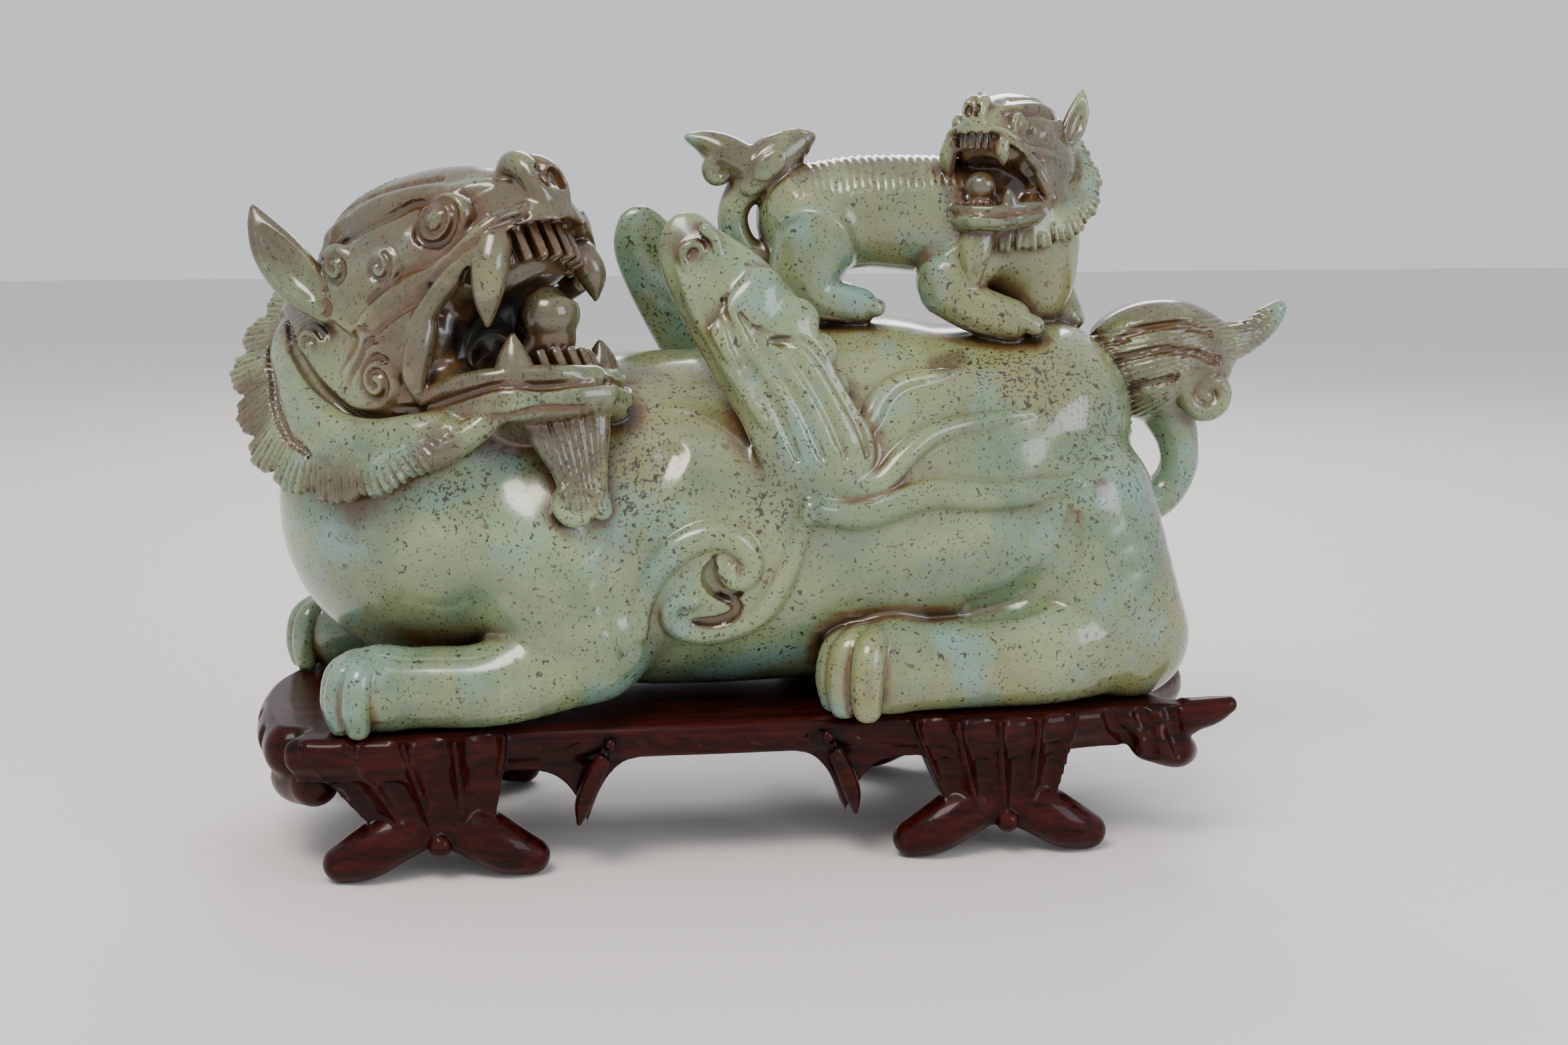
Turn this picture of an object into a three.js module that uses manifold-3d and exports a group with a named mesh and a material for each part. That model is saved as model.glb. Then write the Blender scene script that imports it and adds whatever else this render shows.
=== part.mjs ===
// A jade guardian lion with a cub on its rump, resting on a carved hardwood stand.
// The lion lies facing -X with its head turned back over its near shoulder (-Y).
import * as THREE from 'three';
import { mergeVertices } from 'three/addons/utils/BufferGeometryUtils.js';
import Module from 'manifold-3d';

const wasm = await Module();
wasm.setup();

// Driving dimensions, in millimetres
const figureLength = 292; // from the tips of the ruff to the tip of the tail
const standHeight = 40; // floor to the face that the stone rests on
const slabThickness = 9;
const slabMargin = 4; // how far the slab reaches past the stone's feet, in front and behind
const apronDrop = 15; // how far the apron hangs below the slab beside the legs
const apronWall = 8;
const archRise = 6; // how far the arch between the two drops is cut up into the apron
const dropLength = 10; // the pointed drops at the ends of the arch
const legWidth = 60; // a front fan leg at its top
const legDepth = 30;
const legWaist = 21; // the same leg where its toes part
const waistHeight = 12; // the height of that waist above the floor
const toeRadius = 6;
const toeSpread = 29; // from the middle of a leg to the tip of each toe
const flutes = 10; // hollows round each fan leg
const rearShare = 0.75; // a rear leg's width as a share of a front one's
const touchGap = 0.3; // between the stone's flat underside and the slab
const carvingFaces = 7600; // triangles that each finished solid is thinned to
const standFaces = 2000;

// The figure is drawn in units that are this share of its own length
const unit = figureLength / 292;
const nearSide = -1;
const farSide = 1;

// Solids from closed geometries
function solidFrom(geometry, scale = unit) {
  const bare = new THREE.BufferGeometry();
  bare.setAttribute('position', geometry.getAttribute('position').clone());
  if (geometry.index) bare.setIndex(geometry.index.clone());
  bare.scale(scale, scale, scale);
  const merged = mergeVertices(bare, 1e-4);
  return new wasm.Manifold(new wasm.Mesh({
    numProp: 3,
    vertProperties: new Float32Array(merged.getAttribute('position').array),
    triVerts: new Uint32Array(merged.index.array),
  }));
}

function joined(solids) {
  return solids.reduce((whole, solid) => whole.add(solid));
}

function geometryOf(solid) {
  const mesh = solid.getMesh();
  const geometry = new THREE.BufferGeometry();
  geometry.setAttribute('position', new THREE.BufferAttribute(new Float32Array(mesh.vertProperties), 3));
  geometry.setIndex(new THREE.BufferAttribute(new Uint32Array(mesh.triVerts), 1));
  return geometry;
}

// The faces of the largest closed body alone, without the crumbs that cuts and folds leave
function largestBody(triangles, pointCount) {
  const root = Array.from({ length: pointCount }, (_, index) => index);
  const find = (index) => {
    let at = index;
    while (root[at] !== at) {
      root[at] = root[root[at]];
      at = root[at];
    }
    return at;
  };
  for (const [a, b, c] of triangles) {
    root[find(a)] = find(b);
    root[find(b)] = find(c);
  }
  const sizes = new Map();
  triangles.forEach(([a]) => sizes.set(find(a), (sizes.get(find(a)) ?? 0) + 1));
  const largest = [...sizes].sort((one, other) => other[1] - one[1])[0][0];
  return triangles.filter(([a]) => find(a) === largest);
}

// A plane's squared distance as the ten numbers of a symmetric form, weighed by area
function planeForm(a, b, c) {
  const normal = new THREE.Vector3().crossVectors(b.clone().sub(a), c.clone().sub(a));
  const area = normal.length() / 2;
  if (area < 1e-9) return new Array(10).fill(0);
  const { x, y, z } = normal.normalize();
  const offset = -normal.dot(a);
  return [
    x * x, x * y, x * z, x * offset, y * y, y * z, y * offset, z * z, z * offset, offset * offset,
  ].map((value) => value * area);
}

function formCost(form, { x, y, z }) {
  const [xx, xy, xz, xw, yy, yz, yw, zz, zw, ww] = form;
  return xx * x * x + yy * y * y + zz * z * z + ww
    + 2 * (xy * x * y + xz * x * z + yz * y * z + xw * x + yw * y + zw * z);
}

function bestPoint(form, one, other) {
  const [xx, xy, xz, xw, yy, yz, yw, zz, zw] = form;
  const middle = one.clone().lerp(other, 0.5);
  const choices = [middle, one.clone(), other.clone()];
  const inverse = new THREE.Matrix3().set(xx, xy, xz, xy, yy, yz, xz, yz, zz);
  if (Math.abs(inverse.determinant()) > 1e-6) {
    const solved = new THREE.Vector3(-xw, -yw, -zw).applyMatrix3(inverse.invert());
    if (solved.distanceTo(middle) < one.distanceTo(other)) choices.push(solved);
  }
  return choices.sort((first, second) => formCost(form, first) - formCost(form, second))[0];
}

function meshLists(solid) {
  const source = geometryOf(solid);
  const position = source.getAttribute('position');
  const index = source.index.array;
  const points = Array.from({ length: position.count }, (_, place) => (
    new THREE.Vector3().fromBufferAttribute(position, place)
  ));
  const all = Array.from({ length: index.length / 3 }, (_, face) => [...index.slice(face * 3, face * 3 + 3)]);
  return { points, faces: largestBody(all, points.length) };
}

// Thins a closed mesh by folding away, one by one, the edges that change its shape least
function thinned(solid, target) {
  const { points, faces } = meshLists(solid);
  const around = points.map(() => new Set());
  const forms = points.map(() => new Array(10).fill(0));
  faces.forEach((face) => {
    const form = planeForm(...face.map((corner) => points[corner]));
    for (const corner of face) {
      around[corner].add(face);
      form.forEach((value, place) => { forms[corner][place] += value; });
    }
  });
  const neighbours = (corner) => new Set([...around[corner]].flat().filter((other) => other !== corner));
  const version = points.map(() => 0);
  const queue = new EdgeQueue();
  const offer = (one, other) => {
    const form = forms[one].map((value, place) => value + forms[other][place]);
    const point = bestPoint(form, points[one], points[other]);
    const spread = points[one].distanceToSquared(points[other]);
    const cost = formCost(form, point) + spread * 1e-3;
    queue.push({ cost, one, other, point, form, stamp: version[one] + version[other] });
  };
  points.forEach((_, one) => neighbours(one).forEach((other) => one < other && offer(one, other)));
  let left = faces.length;
  while (left > target && queue.size > 0) {
    const { one, other, point, form, stamp } = queue.pop();
    const current = stamp === version[one] + version[other] && around[one].size > 0 && around[other].size > 0;
    if (current && canFold(one, other, point, points, around, neighbours)) {
      left -= fold(one, other, around);
      points[one] = point;
      forms[one] = form;
      version[one] += 1;
      version[other] += 1;
      neighbours(one).forEach((next) => offer(one, next));
    }
  }
  return packedGeometry(points, largestBody([...new Set(around.flatMap((set) => [...set]))], points.length));
}

// Thins a solid and then cuts it flat and level at its lowest and highest heights
function finished(solid, target, low, high) {
  const reach = 400;
  const band = new THREE.BoxGeometry(reach, reach, high - low).translate(0, 0, (low + high) / 2);
  const level = solidFrom(thinned(solid, target), 1).intersect(solidFrom(band, 1));
  const { points, faces } = meshLists(solidFrom(snapped(geometryOf(level)), 1));
  return packedGeometry(points, faces);
}

// Corners on a grid of a hundredth of a millimetre, so that no two all but touch
function snapped(geometry) {
  const position = geometry.getAttribute('position');
  position.array.forEach((value, place) => { position.array[place] = Math.round(value * 100) / 100; });
  return geometry;
}

// An edge may fold if that leaves the surface closed and turns no face over
function canFold(one, other, point, points, around, neighbours) {
  const shared = [...neighbours(one)].filter((next) => neighbours(other).has(next));
  if (shared.length !== 2) return false;
  const moving = [...around[one], ...around[other]].filter((face) => !(face.includes(one) && face.includes(other)));
  return moving.every((face) => {
    const before = face.map((corner) => points[corner]);
    const after = face.map((corner) => (corner === one || corner === other ? point : points[corner]));
    const was = new THREE.Triangle(...before).getNormal(new THREE.Vector3());
    const becomes = new THREE.Triangle(...after);
    const sides = after.map((corner, place) => corner.distanceToSquared(after[(place + 1) % 3]));
    const sliver = becomes.getArea() < 0.04 * Math.max(...sides);
    return !sliver && becomes.getNormal(new THREE.Vector3()).dot(was) > 0.35;
  });
}

function fold(one, other, around) {
  let gone = 0;
  for (const face of [...around[other]]) {
    if (face.includes(one)) {
      face.forEach((corner) => around[corner].delete(face));
      gone += 1;
    } else {
      face[face.indexOf(other)] = one;
      around[one].add(face);
    }
  }
  around[other].clear();
  return gone;
}

function packedGeometry(points, faces) {
  const used = [...new Set(faces.flat())];
  const places = new Map(used.map((corner, place) => [corner, place]));
  const geometry = new THREE.BufferGeometry().setFromPoints(used.map((corner) => points[corner]));
  geometry.setIndex(faces.flat().map((corner) => places.get(corner)));
  return geometry;
}

// Edges in order of cost, cheapest first
class EdgeQueue {
  constructor() {
    this.items = [];
  }

  get size() {
    return this.items.length;
  }

  push(item) {
    const { items } = this;
    let place = items.push(item) - 1;
    while (place > 0) {
      const parent = (place - 1) >> 1;
      if (items[parent].cost <= items[place].cost) break;
      [items[parent], items[place]] = [items[place], items[parent]];
      place = parent;
    }
  }

  pop() {
    const { items } = this;
    const top = items[0];
    const last = items.pop();
    if (items.length > 0) {
      items[0] = last;
      this.sink(0);
    }
    return top;
  }

  sink(start) {
    const { items } = this;
    let place = start;
    for (;;) {
      const children = [place * 2 + 1, place * 2 + 2].filter((child) => child < items.length);
      const least = children.sort((one, other) => items[one].cost - items[other].cost)[0];
      if (least === undefined || items[least].cost >= items[place].cost) return;
      [items[least], items[place]] = [items[place], items[least]];
      place = least;
    }
  }
}

// A limb swells and tapers along a smooth line through its stations [x, y, z, radius].
// squash flattens its sections along one direction, and frame places the whole limb.
// An end is flat where it is buried in what carries it, and round where it is free.
function limb(stations, { sides = 10, steps = 2, squash = null, frame = null, ends = 'free tip' } = {}) {
  const line = new THREE.CatmullRomCurve3(stations.map(([x, y, z]) => new THREE.Vector3(x, y, z)));
  const radii = new THREE.SplineCurve(stations.map(([, , , radius], index) => new THREE.Vector2(index, radius)));
  const spans = (stations.length - 1) * steps;
  const rings = [];
  let across = null;
  for (let index = 0; index <= spans; index += 1) {
    const share = index / spans;
    const along = line.getTangent(share).normalize();
    if (!across) across = new THREE.Vector3(along.z, along.x, along.y);
    across = across.addScaledVector(along, -across.dot(along)).normalize().clone();
    rings.push({ centre: line.getPoint(share), along, across, radius: Math.max(radii.getPoint(share).y, 0.3) });
  }
  const startCap = ends === 'both free' ? [capRing(rings[0], -1)] : [];
  const endCap = ends === 'buried' ? [] : [capRing(rings.at(-1), 1)];
  const startPole = poleOf(rings[0], -startCap.length);
  const endPole = poleOf(rings.at(-1), endCap.length);
  return loft([...startCap, ...rings, ...endCap], sides, startPole, endPole, squash, frame);
}

function capRing(ring, forward) {
  const centre = ring.centre.clone().addScaledVector(ring.along, forward * ring.radius * 0.68);
  return { ...ring, centre, radius: ring.radius * 0.73 };
}

function poleOf(ring, reach) {
  return ring.centre.clone().addScaledVector(ring.along, reach * ring.radius);
}

function loft(rings, sides, startPole, endPole, squash, frame) {
  const points = [startPole];
  for (const ring of rings) {
    const up = new THREE.Vector3().crossVectors(ring.along, ring.across);
    for (let side = 0; side < sides; side += 1) {
      const angle = (side / sides) * Math.PI * 2;
      const reach = ring.across.clone().multiplyScalar(Math.cos(angle)).addScaledVector(up, Math.sin(angle));
      if (squash) reach.addScaledVector(squash.along, reach.dot(squash.along) * (squash.ratio - 1));
      points.push(ring.centre.clone().addScaledVector(reach, ring.radius));
    }
  }
  points.push(endPole);
  if (frame) points.forEach((point) => point.applyMatrix4(frame));
  const geometry = new THREE.BufferGeometry().setFromPoints(points);
  geometry.setIndex(wrapped(rings.length, sides));
  return solidFrom(geometry);
}

// Faces round a stack of closed rings, with a point before the first and after the last
function wrapped(ringCount, sides) {
  const faces = [];
  const top = 1 + (ringCount - 1) * sides;
  for (let side = 0; side < sides; side += 1) {
    const next = (side + 1) % sides;
    faces.push(0, 1 + next, 1 + side);
    for (let ring = 0; ring < ringCount - 1; ring += 1) {
      const low = 1 + ring * sides;
      const high = low + sides;
      faces.push(low + side, low + next, high + side, low + next, high + next, high + side);
    }
    faces.push(top + side, top + next, top + sides);
  }
  return faces;
}

// A ball drawn out to three radii and then placed
function egg([x, y, z], [rx, ry, rz], { sides = 12, rings = 8, frame = null } = {}) {
  const geometry = new THREE.SphereGeometry(1, sides, rings);
  geometry.scale(rx, ry, rz);
  geometry.translate(x, y, z);
  if (frame) geometry.applyMatrix4(frame);
  return solidFrom(geometry);
}

function ringOn([x, y, z], radius, tube, turn, sides, frame) {
  const geometry = new THREE.TorusGeometry(radius, tube, 4, sides);
  geometry.applyMatrix4(new THREE.Matrix4().makeRotationFromEuler(new THREE.Euler(...turn, 'ZYX')));
  geometry.translate(x, y, z);
  geometry.applyMatrix4(frame);
  return solidFrom(geometry);
}

function block([x, y, z], [length, width, height], turn, frame) {
  const geometry = new THREE.BoxGeometry(length, width, height);
  geometry.rotateZ(turn);
  geometry.translate(x, y, z);
  if (frame) geometry.applyMatrix4(frame);
  return solidFrom(geometry);
}

function frameAt([x, y, z], [turn, tilt, roll], scale = 1) {
  const degrees = Math.PI / 180;
  const euler = new THREE.Euler(roll * degrees, -tilt * degrees, turn * degrees, 'ZYX');
  const place = new THREE.Matrix4().makeRotationFromEuler(euler);
  place.scale(new THREE.Vector3(scale, scale, scale));
  return place.setPosition(x, y, z);
}

function pair(make) {
  return [nearSide, farSide].flatMap((side) => make(side));
}

// A guardian lion's head with an open mouth, in its own frame: +X forward, +Z up.
// The lion's head is finely faceted and the cub's is coarse, with its mouth further open.
function head(frame, { coarse = false, gape = 0 } = {}) {
  const sides = (count) => (coarse ? Math.max(6, Math.round(count * 0.7)) : count);
  const eggs = { sides: sides(14), rings: sides(10), frame };
  const buried = { sides: sides(9), frame, ends: 'buried' };
  const solids = [
    egg([-4, 0, 17], [32, 27, 26], { sides: sides(20), rings: sides(13), frame }),
    limb([[-8, 0, 24, 20], [16, 0, 24, 15], [33, 0, 20, 11], [43, 0, 18, 8]], { sides: sides(10), frame }),
    egg([18, 0, 10], [27, 22, 12], eggs),
    limb(lipLine(), { ...buried, sides: sides(6) }),
    egg([44, 0, 20], [6, 10, 8], eggs),
    limb([[-32, 0, 2, 24], [-8, 0, -16, 19], [8, 0, -26, 11]], { sides: sides(10), frame }),
    limb(jawLine(gape), { ...buried, sides: sides(7) }),
    ...pair((side) => [
      limb([[-8, side * 21, 30, 6], [12, side * 19, 33, 7], [29, side * 11, 29, 6]], { sides: sides(7), frame }),
      egg([47, side * 6, 20], [4, 4, 4], { sides: sides(7), rings: sides(5), frame }),
      egg([25, side * 19, 21], [5.5, 5.5, 5.5], { sides: sides(8), rings: sides(6), frame }),
      ringOn([24, side * 20, 21], 7.2, 1.8, [side * -1.35, 0, side * -0.25], sides(11), frame),
      egg([0, side * 17, 0], [15, 12, 14], eggs),
      egg([-17, side * 15, -5], [16, 14, 16], eggs),
      ear(side, frame, sides),
      ...(coarse ? [] : [
        limb(curl(-7, side * 25, 27, 5, 1.9, side), { sides: 5, frame }),
        limb(curl(-8, side * 27, 3, 5.5, 2, side), { sides: 5, frame }),
      ]),
    ]),
  ];
  const mouth = joined([
    egg([28, 0, -6 - gape / 2], [25, 18, 9.5 + gape / 2], eggs),
    egg([24, 0, -6 - gape / 2], [17, 30, 8 + gape / 2], eggs),
  ]);
  const within = [
    limb([[2, 0, -19, 9], [18, 0, -17, 9], [30, 0, -13 - gape, 7]], { sides: sides(8), frame }),
    egg([31, 0, -8 - gape], [8, 8, 7], eggs),
    ...teeth(frame, coarse, gape),
  ];
  return joined(solids).subtract(mouth).add(joined(within));
}

// A line round the front of a muzzle, from one side of it to the other
function roundMuzzle(half, front) {
  const mirror = half.map(([x, y, z, radius]) => [x, -y, z, radius]);
  return [...mirror, front, ...half.toReversed()];
}

function lipLine() {
  return roundMuzzle([[6, 25, -7, 3.6], [20, 24, 2, 4], [32, 21, 8, 4.3], [41, 12, 10, 4]], [44, 0, 9, 4]);
}

function jawLine(gape) {
  const half = [[-22, 18, -12, 9], [4, 20, -21, 7.5], [24, 18, -22 - gape, 6.5], [32, 9, -21 - gape, 6.5]];
  return roundMuzzle(half, [34, 0, -21 - gape, 6.5]);
}

// A curl of hair that winds in on itself
function curl(x, y, z, radius, thickness, side) {
  const turns = 1.25;
  const count = 7;
  return Array.from({ length: count }, (_, index) => {
    const share = index / (count - 1);
    const angle = share * turns * Math.PI * 2;
    const reach = radius * (1 - 0.75 * share);
    return [x + reach * Math.cos(angle), y - side * 0.5, z + reach * Math.sin(angle), thickness * (1 - 0.2 * share)];
  });
}

function ear(side, frame, sides) {
  const squash = { along: new THREE.Vector3(0.25, side * 0.97, 0).normalize(), ratio: 0.5 };
  const outer = [[-22, 25, 17, 6], [-24, 28, 28, 8.5], [-24, 30, 38, 6.5], [-22, 30.5, 46, 1.2]];
  const shell = limb(outer.map(([x, y, z, radius]) => [x, side * y, z, radius]), { sides: sides(9), squash, frame });
  const bowl = egg([-23, side * 34, 31], [4.6, 4, 10], { sides: sides(7), rings: sides(5), frame });
  return shell.subtract(bowl);
}

function teeth(frame, coarse, gape) {
  const fang = (stations) => limb(stations, { sides: coarse ? 5 : 7, frame, ends: 'buried' });
  const drop = gape / 2;
  const fangs = pair((side) => [
    fang([[37, side * 20, 7, 4.6], [33, side * 20, -1, 3.6], [26, side * 19.5, -9, 0.8]]),
    fang([[31, side * 17.5, -18 - gape, 3.6], [33, side * 18, -9 - gape, 0.8]]),
    fang([[14, side * 25, -3, 3.2], [8, side * 26, -11 - drop, 2.8], [2, side * 25.5, -19 - drop, 0.8]]),
  ]);
  const rowCount = coarse ? 4 : 8;
  const pitch = 30 / rowCount;
  const rows = Array.from({ length: rowCount }, (_, index) => {
    const y = (index - (rowCount - 1) / 2) * pitch;
    const back = y * y * 0.03;
    return [
      block([41 - back, y, 3], [4, pitch * 0.76, 9], -y * 0.05, frame),
      block([33 - back, y, -14 - gape], [4, pitch * 0.76, 8], -y * 0.05, frame),
    ];
  });
  return [...fangs, ...rows.flat()];
}

// A ruff is a row of overlapping locks that fan out from one line to another
function ruff(inner, outer, locks, thickness) {
  const from = new THREE.CatmullRomCurve3(inner.map((point) => new THREE.Vector3(...point)));
  const to = new THREE.CatmullRomCurve3(outer.map((point) => new THREE.Vector3(...point)));
  return Array.from({ length: locks }, (_, index) => {
    const share = (index + 0.5) / locks;
    return limb([
      [...from.getPoint(share), thickness * 1.3],
      [...to.getPoint(share), thickness],
    ], { sides: 8, steps: 1 });
  });
}

// The body: a round barrel, the chest, the neck that turns back and the high rump
function body() {
  const barrel = [
    [-96, 2, 50, 44], [-60, 0, 48, 46], [-20, 0, 47, 47.5], [40, 0, 49, 46], [72, 2, 52, 44], [84, 2, 50, 40],
  ];
  return joined([
    limb(barrel, { sides: 28, ends: 'both free' }),
    egg([-92, 0, 56], [46, 44, 50], { sides: 24, rings: 15 }),
    egg([60, 0, 52], [44, 44, 46], { sides: 22, rings: 14 }),
    egg([78, 0, 72], [22, 34, 27], { sides: 20, rings: 12 }),
    egg([22, 0, 62], [56, 44, 42], { sides: 22, rings: 14 }),
    limb([[-98, 2, 72, 38], [-100, -6, 92, 30]], { sides: 18 }),
  ]);
}

function legs() {
  const long = { sides: 14, steps: 3 };
  return [
    limb([[-68, -27, 44, 25], [-54, -33, 22, 18.5], [-80, -40, 9, 9.5], [-100, -40, 9, 9]], long),
    limb([[82, -22, 52, 26], [88, -27, 25, 22], [62, -38, 13, 13], [42, -39, 11, 11.5]], long),
    limb([[-72, 27, 44, 25], [-66, 31, 22, 18.5], [-95, 33, 10, 10], [-114, 33, 9, 9]], long),
    limb([[82, 22, 52, 26], [88, 27, 25, 22], [62, 38, 13, 13], [42, 39, 11, 11.5]], long),
    ...paw(-112, -40, 10.5),
    ...paw(-127, 33, 11),
    ...paw(22, -40, 12.5),
    ...paw(22, 40, 12.5),
  ];
}

// A paw is a pad with four round toes side by side, each ending low in front
function paw(x, y, size) {
  const toes = Array.from({ length: 4 }, (_, index) => {
    const middle = Math.abs(index - 1.5);
    const across = y + (index - 1.5) * size * 0.46;
    const lead = x - size * (0.95 - 0.08 * middle ** 2);
    return limb([
      [x, across, size * 1.05, size * 0.36],
      [x + (lead - x) * 0.7, across, size * 0.85, size * 0.36],
      [lead, across, size * 0.3, size * 0.34],
    ], { sides: 8, steps: 1 });
  });
  return [egg([x, y, size * 0.75], [size, size * 0.95, size * 0.85]), ...toes];
}

// Carved bands on the flanks, each a line of [x, z, radius] stations
const bands = [
  [[8, 92, 3], [11, 80, 3.2], [18, 84, 3], [28, 86, 2.8], [46, 87, 1.6]],
  [[4, 84, 3.5], [10, 70, 3.6], [16, 65, 3.4], [24, 67, 3.2], [33, 74, 2.8], [60, 77, 1.6]],
  [[-6, 72, 4], [6, 58, 3.8], [20, 55, 3.4], [38, 57, 3.4], [58, 56, 3.4], [80, 62, 2.6]],
  [[26, 60, 2.6], [36, 66, 2.6], [48, 71, 2], [62, 75, 1.4]],
  [[0, 55, 3.2], [-4, 43, 3.2], [-8, 31, 3.2], [-17, 20, 3], [-27, 21, 2.6], [-28, 27, 2.2]],
];

function spiralBand(x, z, reach, turns, start, thickness) {
  const count = Math.round(turns * 11);
  return Array.from({ length: count + 1 }, (_, index) => {
    const share = index / count;
    const angle = start - share * turns * Math.PI * 2;
    const radius = reach * (1 - 0.8 * share);
    return [x + radius * Math.cos(angle), z + radius * Math.sin(angle), thickness * (1 - 0.35 * share)];
  });
}

// Each band is dropped across onto the skin and half sunk in it
function relief(skin) {
  const mesh = new THREE.Mesh(geometryOf(skin), new THREE.MeshBasicMaterial({ side: THREE.DoubleSide }));
  const caster = new THREE.Raycaster();
  const flank = [...bands, spiralBand(-24, 42, 17, 1.5, Math.PI * 1.05, 3.2), spiralBand(7, 86, 7, 1.2, 2, 2.2)];
  return pair((side) => flank.map((band) => {
    const laid = band.map(([x, z, radius]) => {
      caster.set(new THREE.Vector3(x, side * 100, z).multiplyScalar(unit), new THREE.Vector3(0, -side, 0));
      const [hit] = caster.intersectObject(mesh);
      return [x, hit.point.y / unit - side * radius * 0.25, z, radius];
    });
    return limb(laid, { sides: 6 });
  }));
}

// A wing stands up from the scrolls on each shoulder, its tip curled and its back edge lobed
function wing(side) {
  const squash = { along: new THREE.Vector3(0, 1, 0), ratio: 0.55 };
  const blade = [[-8, 41, 76, 15], [-13, 37, 92, 14], [-18, 32, 108, 10.5], [-25, 29, 119, 7.5], [-29, 28, 125, 5.5]];
  const lobes = [[-9, 33, 110, 5.5], [-2, 36, 105, 6], [5, 38, 98, 6.5], [9, 40, 91, 7]];
  return [
    limb(blade.map(([x, y, z, radius]) => [x, side * y, z, radius]), { sides: 14, squash }),
    ...lobes.map(([x, y, z, radius]) => egg([x, side * y, z], [radius, 4.2, radius], { sides: 10, rings: 7 })),
    limb(curl(-27, side * 31, 121, 4.5, 2.2, side), { sides: 6 }),
  ];
}

// The tail rises in a loop behind the rump and breaks into a flame of locks
function tail() {
  const flame = { along: new THREE.Vector3(0, 1, 0), ratio: 0.7 };
  const locks = [
    [[110, 72, 9], [102, 86, 12], [101, 97, 9], [108, 101, 4]],
    [[112, 76, 9], [112, 90, 12], [120, 97, 6], [127, 98, 3]],
    [[114, 76, 9], [126, 86, 8], [134, 92, 6], [139, 97, 6.5], [145, 101, 2]],
    [[110, 72, 9], [118, 74, 8], [125, 79, 7.5]],
  ];
  return [
    limb([[92, 2, 50, 9], [105, 3, 51, 7], [116, 4, 56, 6.5], [119, 4, 65, 6.5], [113, 4, 76, 8]], { steps: 2 }),
    ...locks.map((lock) => limb(lock.map(([x, z, radius]) => [x, 4, z, radius]), { squash: flame })),
    limb(curl(122, -2, 78, 6, 3.2, nearSide), { sides: 7 }),
  ];
}

// The beard falls from the chin in strands and lies on the near shoulder, its end curled
function beard() {
  const strands = 4;
  const falls = Array.from({ length: strands }, (_, index) => {
    const share = index / (strands - 1);
    return limb([
      [-75 + share * 18, -40, 84 + share * 4, 5],
      [-70 + share * 15, -47, 72 + share * 2, 4.6],
      [-62 + share * 8, -48, 59 + share * 2, 3.6],
    ], { sides: 6 });
  });
  return [...falls, limb(curl(-61, -51, 61, 4.5, 2.4, nearSide), { sides: 5 })];
}

// The cub stands across the rump with its tail up and its head turned back as well
function cub() {
  const legs = [
    [[8, -6, 124, 12], [3, -11, 113, 8], [12, -13, 107, 5], [23, -13, 106, 4.6]],
    [[56, -8, 126, 11], [44, -13, 111, 7], [58, -16, 102, 6], [66, -17, 100, 5.5]],
    [[8, 8, 124, 12], [3, 12, 113, 8], [12, 14, 107, 5], [23, 14, 106, 4.6]],
    [[70, 8, 122, 10], [80, 8, 110, 6.5], [88, 8, 99, 5.8]],
  ];
  const flame = { along: new THREE.Vector3(0, 1, 0), ratio: 0.75 };
  const ruffInner = [[80, 9, 148], [84, -4, 138], [76, -15, 130], [62, -18, 127], [52, -14, 128]];
  const ruffOuter = [[87, 10, 150], [89, -4, 136], [80, -17, 125], [63, -20, 121], [50, -16, 121]];
  return [
    limb([[8, 0, 128, 16], [25, 0, 130, 15.5], [50, 0, 128, 17], [68, 0, 123, 18]], { sides: 12, ends: 'both free' }),
    limb([[66, 0, 128, 17], [70, -2, 142, 15]], { sides: 10 }),
    ...legs.map((leg) => limb(leg, { sides: 7 })),
    ...ruff(ruffInner, ruffOuter, 8, 3.6),
    limb([[52, -17, 127, 5], [50, -19, 119, 4.2], [50, -18, 113, 1.6]], { sides: 6 }),
    limb([[2, 0, 118, 4.6], [-9, 0, 120, 4.2], [-13, 0, 130, 4], [-8, 0, 142, 4.5]], { sides: 6, steps: 2 }),
    limb([[-10, 0, 138, 6], [-2, 0, 144, 9], [6, 0, 147, 5]], { sides: 7, squash: flame, ends: 'both free' }),
    limb([[-6, 0, 142, 6], [-15, 0, 145, 6], [-23, 0, 150, 2.4]], { sides: 7, squash: flame }),
    limb(curl(-17, -2, 142, 4, 2.2, nearSide), { sides: 5 }),
    head(frameAt([62, -6, 141.5], [-128, 10, 0], 0.51), { coarse: true, gape: 7 }),
  ];
}

function lion() {
  const skin = body();
  const ruffInner = [
    [-118, 26, 98], [-126, 16, 84], [-120, 2, 72], [-106, -20, 68], [-90, -36, 72], [-78, -42, 80],
  ];
  const ruffOuter = [
    [-136, 22, 106], [-142.5, 22, 86], [-140, 8, 66], [-122, -18, 60], [-108, -32, 61], [-88, -44, 72],
  ];
  const nape = [[-104, 16, 114], [-88, 22, 110], [-74, 20, 100]];
  const napeTips = [[-116, 34, 96], [-94, 42, 86], [-66, 38, 80]];
  const parts = [
    skin,
    head(frameAt([-88, -14, 101], [-44, 27, 3])),
    ...ruff(ruffInner, ruffOuter, 14, 5.2),
    ...ruff(nape, napeTips, 6, 6.5),
    ...legs(),
    ...relief(skin),
    ...pair(wing),
    ...tail(),
    ...beard(),
    ...cub(),
  ];
  return joined(parts);
}

// The stand follows the stone's footprint
const tipRight = 110 * unit;
const endLeft = -142 * unit;
const halfDepth = 46 * unit + slabMargin;
const legCentres = [-97 * unit, 56 * unit];
const underside = standHeight - slabThickness;
const crown = 1.5; // cut off again when the stand's top is made flat

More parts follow.
